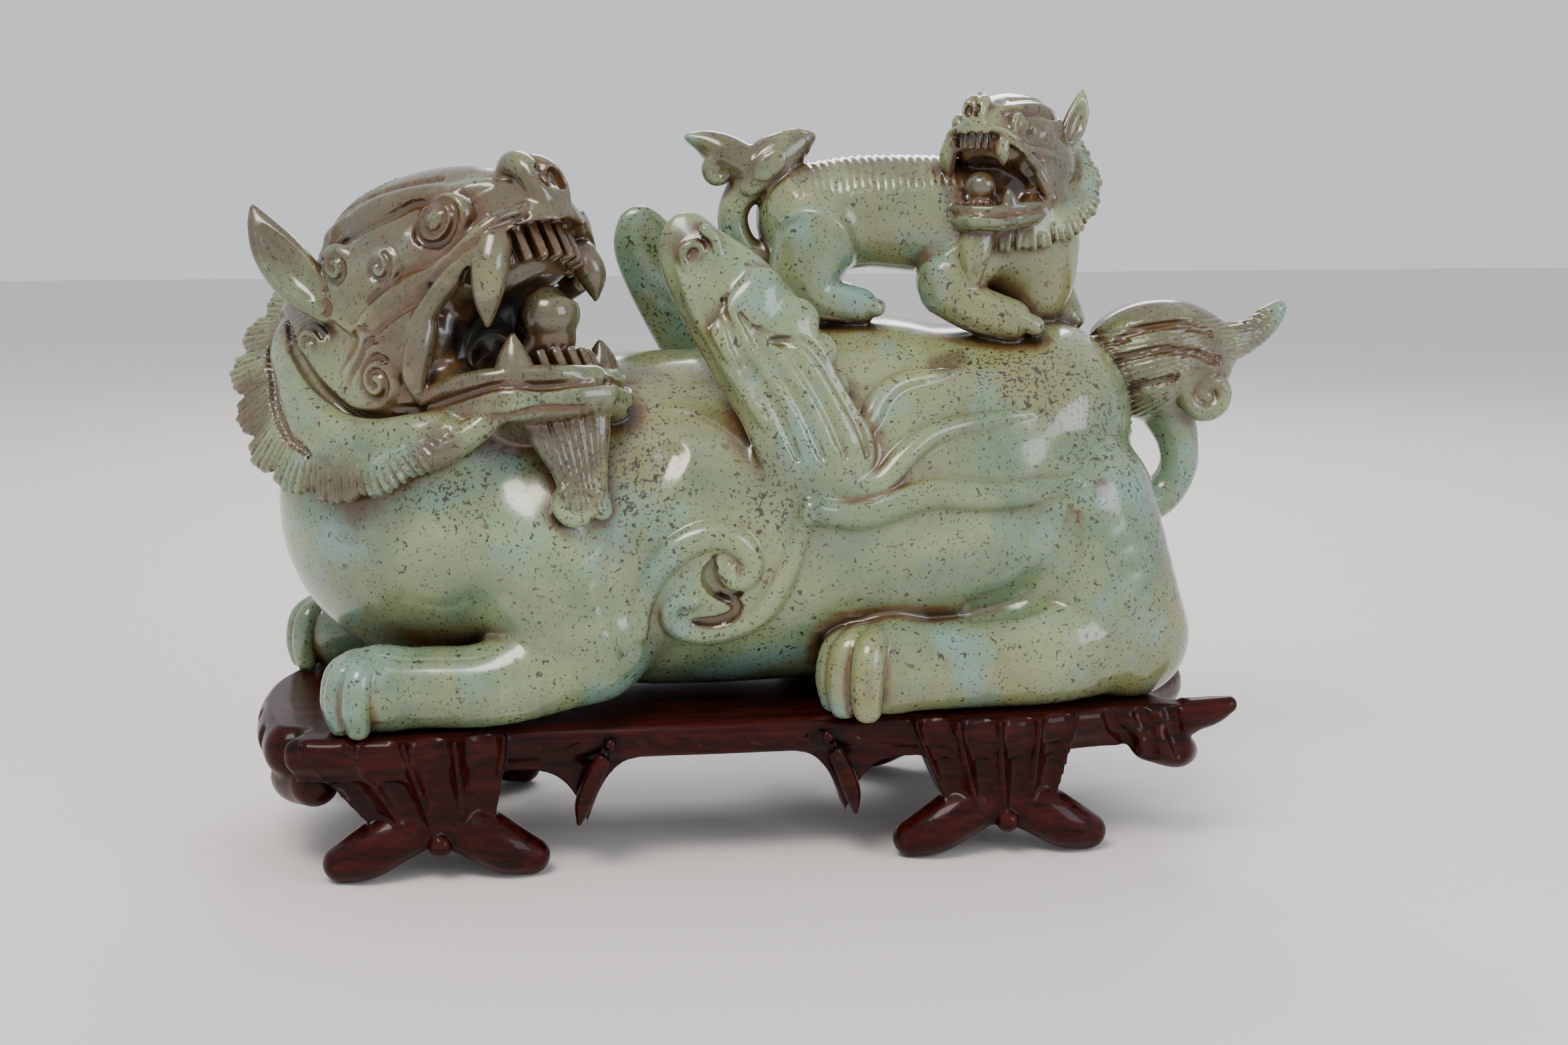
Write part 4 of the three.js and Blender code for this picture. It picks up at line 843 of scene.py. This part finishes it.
def largest_body(points, faces):
    """The points and triangles of the largest joined body, without loose crumbs."""
    label = np.arange(len(points))
    while True:
        names = label[faces]
        lowest = names.min(axis=1)
        if (names == lowest[:, None]).all():
            break
        np.minimum.at(label, names.ravel(), np.repeat(lowest, 3))
        label = label[label]
    kept = label == np.bincount(names[:, 0]).argmax()
    return points[kept], (np.cumsum(kept) - 1)[faces[kept[faces[:, 0]]]]


def mesh_from(clay, name, faces, lift):
    """A closed mesh of the clay's surface in metres, thinned, with smooth normals and attributes."""
    grid = openvdb.FloatGrid(FAR)
    grid.copyFromArray(clay.field)
    grid.gridClass = openvdb.GridClass.LEVEL_SET
    points, triangles, quads = grid.convertToPolygons(0.0, 0.0)
    points = (np.asarray(points) + clay.first) * clay.step
    halves = np.concatenate([quads[:, [0, 1, 2]], quads[:, [0, 2, 3]], np.asarray(triangles).reshape(-1, 3)])
    corners = points[halves]
    if np.einsum("ij,ij->", corners[:, 0], np.cross(corners[:, 1], corners[:, 2])) < 0:
        halves = halves[:, ::-1]
    points, halves = largest_body(points, halves)
    mesh = bpy.data.meshes.new(name)
    mesh.vertices.add(len(points))
    mesh.vertices.foreach_set("co", (points * MM).astype(np.float32).ravel())
    mesh.loops.add(halves.size)
    mesh.loops.foreach_set("vertex_index", halves.astype(np.int32).ravel())
    mesh.polygons.add(len(halves))
    mesh.polygons.foreach_set("loop_start", np.arange(0, halves.size, 3, dtype=np.int32))
    mesh.update(calc_edges=True)
    piece = bpy.data.objects.new(name, mesh)
    bpy.context.collection.objects.link(piece)
    thin = piece.modifiers.new("thin", "DECIMATE")
    thin.ratio = min(1.0, faces / len(halves))
    graph = bpy.context.evaluated_depsgraph_get()
    finished = bpy.data.meshes.new_from_object(piece.evaluated_get(graph))
    piece.modifiers.clear()
    piece.data = finished
    bpy.data.meshes.remove(mesh)
    finished.name = name
    finish_surface(finished, clay, lift)
    return piece


def coordinates(mesh):
    """The places of a mesh's points, in metres."""
    points = np.empty(len(mesh.vertices) * 3, dtype=np.float32)
    mesh.vertices.foreach_get("co", points)
    return points.reshape(-1, 3).astype(float)


def finish_surface(mesh, clay, lift):
    """Smooth normals, how hollow the surface is round each point, and the mesh lifted into place."""
    points = coordinates(mesh) / MM
    normals = clay.outward(points, 0.6)
    hollow = np.zeros(len(points))
    for reach in (1.2, 2.4, 4.4):
        hollow += 0.36 * np.clip(1 - clay.sample(points + normals * reach) / reach, 0, 1)
    hollow[points[:, 2] < 0.3] = 0
    mesh.attributes.new("hollow", "FLOAT", "POINT").data.foreach_set("value", hollow.astype(np.float32))
    mesh.vertices.foreach_set("co", ((points + [0, 0, lift]) * MM).astype(np.float32).ravel())
    mesh.polygons.foreach_set("use_smooth", np.ones(len(mesh.polygons), dtype=bool))
    mesh.update()
    mesh.normals_split_custom_set_from_vertices([tuple(n) for n in normals.astype(float)])


def comb_values(points):
    """Where each point lies across the combed lines, in radians, and how strongly it is combed."""
    phase, amount = np.zeros(len(points)), np.zeros(len(points))
    for starts, ends, lines, reach, strength in combs:
        low = np.minimum(starts.min(0), ends.min(0)) - reach
        high = np.maximum(starts.max(0), ends.max(0)) + reach
        picked = np.nonzero(np.all((points > low) & (points < high), axis=1))[0]
        if not len(picked):
            continue
        away = np.full((len(picked), len(starts)), 1e9, dtype=np.float32)
        for index, (a, b) in enumerate(zip(starts, ends)):
            span = b - a
            along = points[picked] - a
            share = np.clip(along @ span / (span @ span), 0, 1)
            away[:, index] = np.linalg.norm(along - share[:, None] * span, axis=1)
        best = np.clip(away.argmin(1), 1, len(starts) - 2)
        rows = np.arange(len(picked))
        a, b, c = away[rows, best - 1], away[rows, best], away[rows, best + 1]
        shift = np.clip(0.5 * (a - c) / np.maximum(a - 2 * b + c, 1e-3), -0.5, 0.5)
        distance = away.min(1)
        weight = strength * np.clip((reach - distance) / (reach * 0.3), 0, 1)
        stronger = weight > amount[picked]
        chosen = picked[stronger]
        phase[chosen] = ((best + shift) / (len(starts) - 1) * lines * 2 * math.pi)[stronger]
        amount[chosen] = weight[stronger]
    return phase, amount


# Brown skin left on the stone: x, y, z, radius and strength
SKIN = (
    [-96, -12, 128, 36, 1.15], [-66, -36, 124, 30, 1.2], [-70, -42, 96, 20, 0.95], [-134, -8, 126, 17, 1.0],
    [-60, -40, 106, 22, 1.1], [-136, 8, 104, 17, 0.85], [-143, -6, 80, 17, 0.95], [-120, -42, 61, 17, 0.85],
    [-92, -50, 74, 12, 0.8], [-60, -48, 76, 20, 1.0], [-100, -38, 100, 16, 0.7],
    [-28, -31, 123, 9, 0.9], [66, -10, 148, 24, 1.05], [28, 0, 148, 19, 0.95], [6, 0, 144, 15, 0.8],
    [-12, 0, 147, 15, 0.95], [112, 4, 92, 24, 1.0], [136, 4, 96, 12, 0.8], [80, -47, 61, 4.5, 1.2],
    [94, -16, 36, 15, 0.6], [-110, -44, 4, 9, 0.6], [40, -28, 93, 7, 0.8], [46, -24, 95, 5, 0.9],
    [-40, -20, 92, 10, 0.5], [-122, 20, 112, 20, 0.8],
)

# Where the dark flecks gather: x, y, z and radius
FLECKS = ([-62, -42, 84, 34], [-38, -44, 66, 28], [-14, -44, 60, 24], [84, -40, 84, 34], [56, -36, 96, 30],
          [110, -30, 46, 24], [-96, -46, 62, 16], [-50, 20, 90, 40], [80, 30, 90, 40], [60, 0, 140, 26])


def fleck_values(points):
    """How thickly the flecks lie at each point."""
    total = np.full(len(points), 0.12)
    for x, y, z, radius in FLECKS:
        away = np.linalg.norm(points - [x, y, z], axis=1) / radius
        total = np.maximum(total, np.clip(1.3 - away, 0, 1))
    return total


def skin_and_mouth_shade(points):
    """How thick the brown skin is at each point, and over 1.25 where shade is painted inside the mouths."""
    total = np.zeros(len(points))
    for x, y, z, radius, strength in SKIN:
        away = np.linalg.norm(points - [x, y, z], axis=1) / radius
        total = np.maximum(total, strength * np.clip(1.25 - away, 0, 1))
    # Painted shade inside the mouths
    for x, y, z, radius in painted_mouth_shade:
        away = np.linalg.norm(points - [x, y, z], axis=1) / radius
        total = np.maximum(total, 2.4 * np.clip(1.3 - away, 0, 1))
    return total


# Materials

def colour(code):
    """A hex sRGB colour as linear RGBA."""
    parts = [int(code[i:i + 2], 16) / 255 for i in (1, 3, 5)]
    return (*[v / 12.92 if v <= 0.04045 else ((v + 0.055) / 1.055) ** 2.4 for v in parts], 1)


def add(tree, kind, inputs=None, **settings):
    """One shader node, its settings and its inputs, which are values or other nodes' outputs."""
    node = tree.nodes.new(kind)
    for name, value in settings.items():
        setattr(node, name, value)
    for name, value in (inputs or {}).items():
        if isinstance(value, bpy.types.NodeSocket):
            tree.links.new(value, node.inputs[name])
        else:
            node.inputs[name].default_value = value
    return node


def patches(tree, place, size, low, high, detail=3.0, rough=0.55, warp=0.0, more=None):
    """A mask of soft patches: from 0 where a noise is at low to 1 at high.

    size is that of one patch in millimetres. more is a pair: another mask, and the share of it that is
    added to the noise.
    """
    level = add(tree, "ShaderNodeTexNoise", {"Vector": place, "Scale": 1 / (size * MM), "Detail": detail,
                                             "Roughness": rough, "Distortion": warp}).outputs[0]
    if more:
        level = add(tree, "ShaderNodeMath", {0: more[0], 1: more[1], 2: level},
                    operation="MULTIPLY_ADD").outputs[0]
    return add(tree, "ShaderNodeMapRange", {0: level, 1: low, 2: high}).outputs[0]


def laid_over(tree, under, over, *shares):
    """One colour over another, as strongly as the product of the shares, which are masks or numbers."""
    strength = shares[0]
    for share in shares[1:]:
        strength = add(tree, "ShaderNodeMath", {0: strength, 1: share}, operation="MULTIPLY").outputs[0]
    return add(tree, "ShaderNodeMix", {0: strength, 6: under, 7: over}, data_type="RGBA").outputs[2]


def new_material(name):
    """An empty material and its node tree."""
    material = bpy.data.materials.new(name)
    material.use_nodes = True
    tree = material.node_tree
    tree.nodes.clear()
    return material, tree


def jade():
    """Polished celadon jade: a soft deep gloss over cloudy blue-green and yellow-green stone."""
    material, tree = new_material("carved celadon jade")
    place = add(tree, "ShaderNodeTexCoord").outputs["Object"]
    skin = add(tree, "ShaderNodeAttribute", attribute_name="skin").outputs["Fac"]
    flecks = add(tree, "ShaderNodeAttribute", attribute_name="flecks").outputs["Fac"]
    hollow = add(tree, "ShaderNodeAttribute", attribute_name="hollow").outputs["Fac"]
    phase = add(tree, "ShaderNodeAttribute", attribute_name="phase").outputs["Fac"]
    combed = add(tree, "ShaderNodeAttribute", attribute_name="comb").outputs["Fac"]

    # Clouds in the stone: green, yellow-green, blue in smaller patches, and a fine mottle. The yellow-green
    # is a little stronger behind the shoulder
    body = laid_over(tree, colour("#5d7258"), colour("#84946b"),
                     patches(tree, place, 38.5, 0.36, 0.64, 4, 0.6, 0.6))
    length = add(tree, "ShaderNodeSeparateXYZ", {"Vector": place}).outputs[0]
    behind = add(tree, "ShaderNodeMapRange", {0: length, 1: -0.09, 2: -0.03}).outputs[0]
    body = laid_over(tree, body, colour("#807845"),
                     patches(tree, place, 58.8, 0.5, 0.72, 3, 0.5, 0.4, more=(behind, 0.07)), 0.7)
    body = laid_over(tree, body, colour("#6c9490"), patches(tree, place, 26.3, 0.52, 0.68, 4, 0.6), 0.7)
    body = laid_over(tree, body, colour("#5f715c"), patches(tree, place, 2.38, 0.52, 0.72, 4, 0.7), 0.3)

    # Russet skin with a broken edge, and painted shade, nearly black, inside the mouths
    russet = laid_over(tree, colour("#2e2318"), colour("#665740"), patches(tree, place, 6.25, 0, 1))
    cover = patches(tree, place, 10.5, 0.809, 1.1545, 5, 0.65, more=(skin, 0.909))
    body = laid_over(tree, body, russet, cover, 0.84)
    # Painted shade inside the mouths, where the skin attribute is over 1.25
    inside = add(tree, "ShaderNodeMapRange", {0: skin, 1: 1.15, 2: 1.7}).outputs[0]
    body = laid_over(tree, body, colour("#150d07"), inside)

    # Dark specks of two sizes gathered in drifts, and a few brown spots. Real specks are finer than these
    # and wouldn't show, so they are drawn as coarse as a picture of the whole piece needs.
    drift = add(tree, "ShaderNodeMath", {0: flecks, 1: patches(tree, place, 29.4, 0.34, 0.56)},
                operation="MULTIPLY").outputs[0]
    for size, level, strength in ((1.613, 0.665, 0.9), (0.909, 0.64, 0.8)):
        specks = patches(tree, place, size, level, level + 0.03, 2, 0.5, more=(drift, 0.075))
        body = laid_over(tree, body, colour("#2b241c"), specks, strength)
    body = laid_over(tree, body, colour("#4f3722"), patches(tree, place, 5.26, 0.72, 0.76, 2, 0.5), 0.75)

    # Brown stain with painted shade in the cuts, painted shade darkest in the deepest, and painted shade
    # between combed hairs
    stain_and_shade = add(tree, "ShaderNodeMapRange", {0: hollow, 1: 0.08, 2: 0.36}).outputs[0]
    deep_shade = add(tree, "ShaderNodeMapRange", {0: hollow, 1: 0.35, 2: 0.8}).outputs[0]
    # Brown stain in patches of the cuts, with painted shade that grows where they are deeper
    body = laid_over(tree, body, colour("#5c3c1a"), stain_and_shade, patches(tree, place, 16.7, 0.22, 0.55), 0.85)
    # Painted shade, near black, in the deepest cuts
    body = laid_over(tree, body, colour("#2b1a0c"), deep_shade, 0.85)
    wave = add(tree, "ShaderNodeMath", {0: phase}, operation="SINE").outputs[0]
    # Painted shade in the grooves between combed hairs
    hair_groove_shade = add(tree, "ShaderNodeMapRange", {0: wave, 1: 0.1, 2: -1.0}).outputs[0]
    body = laid_over(tree, body, colour("#5d5a3e"), hair_groove_shade, combed, 0.42)

    # The hand polish leaves a slight waviness and an uneven gloss
    hairs = add(tree, "ShaderNodeMath", {0: wave, 1: combed}, operation="MULTIPLY").outputs[0]
    raised = add(tree, "ShaderNodeBump", {"Strength": 0.3, "Distance": 0.4 * MM, "Height": hairs}).outputs[0]
    polish = add(tree, "ShaderNodeBump", {"Strength": 0.06, "Distance": 0.4 * MM, "Normal": raised,
                                          "Height": patches(tree, place, 6.67, 0, 1, 4)}).outputs[0]
    uneven = patches(tree, place, 8.33, 0, 1, 4)
    gloss = add(tree, "ShaderNodeMapRange", {0: uneven, 3: 0.1, 4: 0.32}).outputs[0]
    shader = add(tree, "ShaderNodeBsdfPrincipled", {
        "Base Color": body, "Roughness": gloss, "IOR": 1.6, "Normal": polish, "Subsurface Weight": 0.22,
        "Subsurface Radius": (0.9, 1.0, 0.7), "Subsurface Scale": 4 * MM, "Coat Weight": 0.35,
        "Coat Roughness": 0.06,
    })
    add(tree, "ShaderNodeOutputMaterial", {"Surface": shader.outputs[0]})
    return material


def lacquered_wood():
    """Rosewood under brushed dark lacquer: nearly black, with a red-brown grain and soft bright edges."""
    material, tree = new_material("lacquered rosewood")
    place = add(tree, "ShaderNodeTexCoord").outputs["Object"]
    hollow = add(tree, "ShaderNodeAttribute", attribute_name="hollow").outputs["Fac"]
    # Grain lines 2.4 mm across, ten times as long, along the slab
    along = add(tree, "ShaderNodeMapping", {"Vector": place, "Scale": (1, 10, 10)}).outputs[0]
    grain = patches(tree, along, 23.8, 0, 1, 6, 0.6, 0.8)
    lines = add(tree, "ShaderNodeMapRange", {0: grain, 1: 0.35, 2: 0.68}).outputs[0]
    body = laid_over(tree, colour("#140403"), colour("#3c0e09"), lines)
    # Darker in the hollows
    darker_in_hollows = add(tree, "ShaderNodeMapRange", {0: hollow, 1: 0.15, 2: 0.7}).outputs[0]
    body = laid_over(tree, body, colour("#0d0504"), darker_in_hollows)
    pores = add(tree, "ShaderNodeBump", {"Strength": 0.12, "Distance": 0.4 * MM, "Height": grain}).outputs[0]
    brushed = add(tree, "ShaderNodeBump", {"Strength": 0.12, "Distance": 0.6 * MM, "Normal": pores,
                                           "Height": patches(tree, place, 7.69, 0, 1, 2)}).outputs[0]
    shader = add(tree, "ShaderNodeBsdfPrincipled", {
        "Base Color": body, "Roughness": 0.3, "IOR": 1.45, "Specular IOR Level": 0.1, "Normal": brushed,
        "Coat Weight": 0.16, "Coat Roughness": 0.06,
    })
    add(tree, "ShaderNodeOutputMaterial", {"Surface": shader.outputs[0]})
    return material


def matte(name, code):
    """Plain matt paint for the studio."""
    material, tree = new_material(name)
    shader = add(tree, "ShaderNodeBsdfPrincipled", {"Base Color": colour(code), "Roughness": 0.7})
    add(tree, "ShaderNodeOutputMaterial", {"Surface": shader.outputs[0]})
    return material


# Pieces and the studio

def build_stone():
    """The lion and its cub, in place of the solid of the same stone."""
    clay = stone_clay()
    piece = mesh_from(clay, "jade_lion_and_cub", STONE_FACES, SEAT)
    points = coordinates(piece.data) / MM - [0, 0, SEAT]
    phase, combed = comb_values(points)
    # The skin attribute also carries the painted shade inside the mouths
    carried = {"phase": phase, "comb": combed, "skin": skin_and_mouth_shade(points), "flecks": fleck_values(points)}
    for name, values in carried.items():
        piece.data.attributes.new(name, "FLOAT", "POINT").data.foreach_set("value", values.astype(np.float32))
    piece.data.materials.append(jade())
    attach(piece, "root")
    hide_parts("jade_lion_with_cub")


def build_stand():
    """The carved wood stand."""
    piece = mesh_from(stand_clay(), "rosewood_stand", STAND_FACES, 0)
    piece.data.materials.append(lacquered_wood())
    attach(piece, "root")
    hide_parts("carved_wood_stand")


def area_light(name, place, target, size, power, tint="#ffffff"):
    """A soft rectangular lamp that faces a target."""
    light = bpy.data.lights.new(name, "AREA")
    light.shape = "RECTANGLE"
    light.size, light.size_y = size
    light.energy = power
    light.color = colour(tint)[:3]
    lamp = bpy.data.objects.new(name, light)
    lamp.location = place
    lamp.rotation_euler = (Vector(target) - Vector(place)).to_track_quat("-Z", "Y").to_euler()
    bpy.context.collection.objects.link(lamp)


def build_studio():
    """A pale floor and background, three soft lamps and the camera at the photograph's angle."""
    floor_mesh = bpy.data.meshes.new("floor")
    half = 2.5
    corners = [(-half, -half, 0), (half, -half, 0), (half, half, 0), (-half, half, 0)]
    floor_mesh.from_pydata(corners, [], [(0, 1, 2, 3)])
    floor = bpy.data.objects.new("floor", floor_mesh)
    floor_mesh.materials.append(matte("pale studio floor", "#e2ded9"))
    bpy.context.collection.objects.link(floor)
    world = bpy.data.worlds.new("studio")
    world.use_nodes = True
    background = world.node_tree.nodes["Background"]
    background.inputs["Color"].default_value = colour("#f2f3fa")
    background.inputs["Strength"].default_value = 0.92
    bpy.context.scene.world = world
    area_light("key", (-0.35, -0.55, 0.95), (0, 0, 0.1), (0.5, 0.35), 9, "#fff6ea")
    area_light("fill", (0.75, -0.7, 0.45), (0, 0, 0.1), (0.5, 0.5), 4, "#eef4ff")
    area_light("rim", (0.2, 0.8, 0.7), (0, 0, 0.12), (0.6, 0.3), 5)
    camera = bpy.data.objects.new("camera", bpy.data.cameras.new("camera"))
    camera.location = (-0.0826, -0.5962, 0.191)
    camera.rotation_euler = (math.radians(80), 0, math.radians(-8))
    camera.data.lens = 50
    camera.data.sensor_width = 36
    bpy.context.collection.objects.link(camera)
    bpy.context.scene.camera = camera


build_stone()
build_stand()
build_studio()
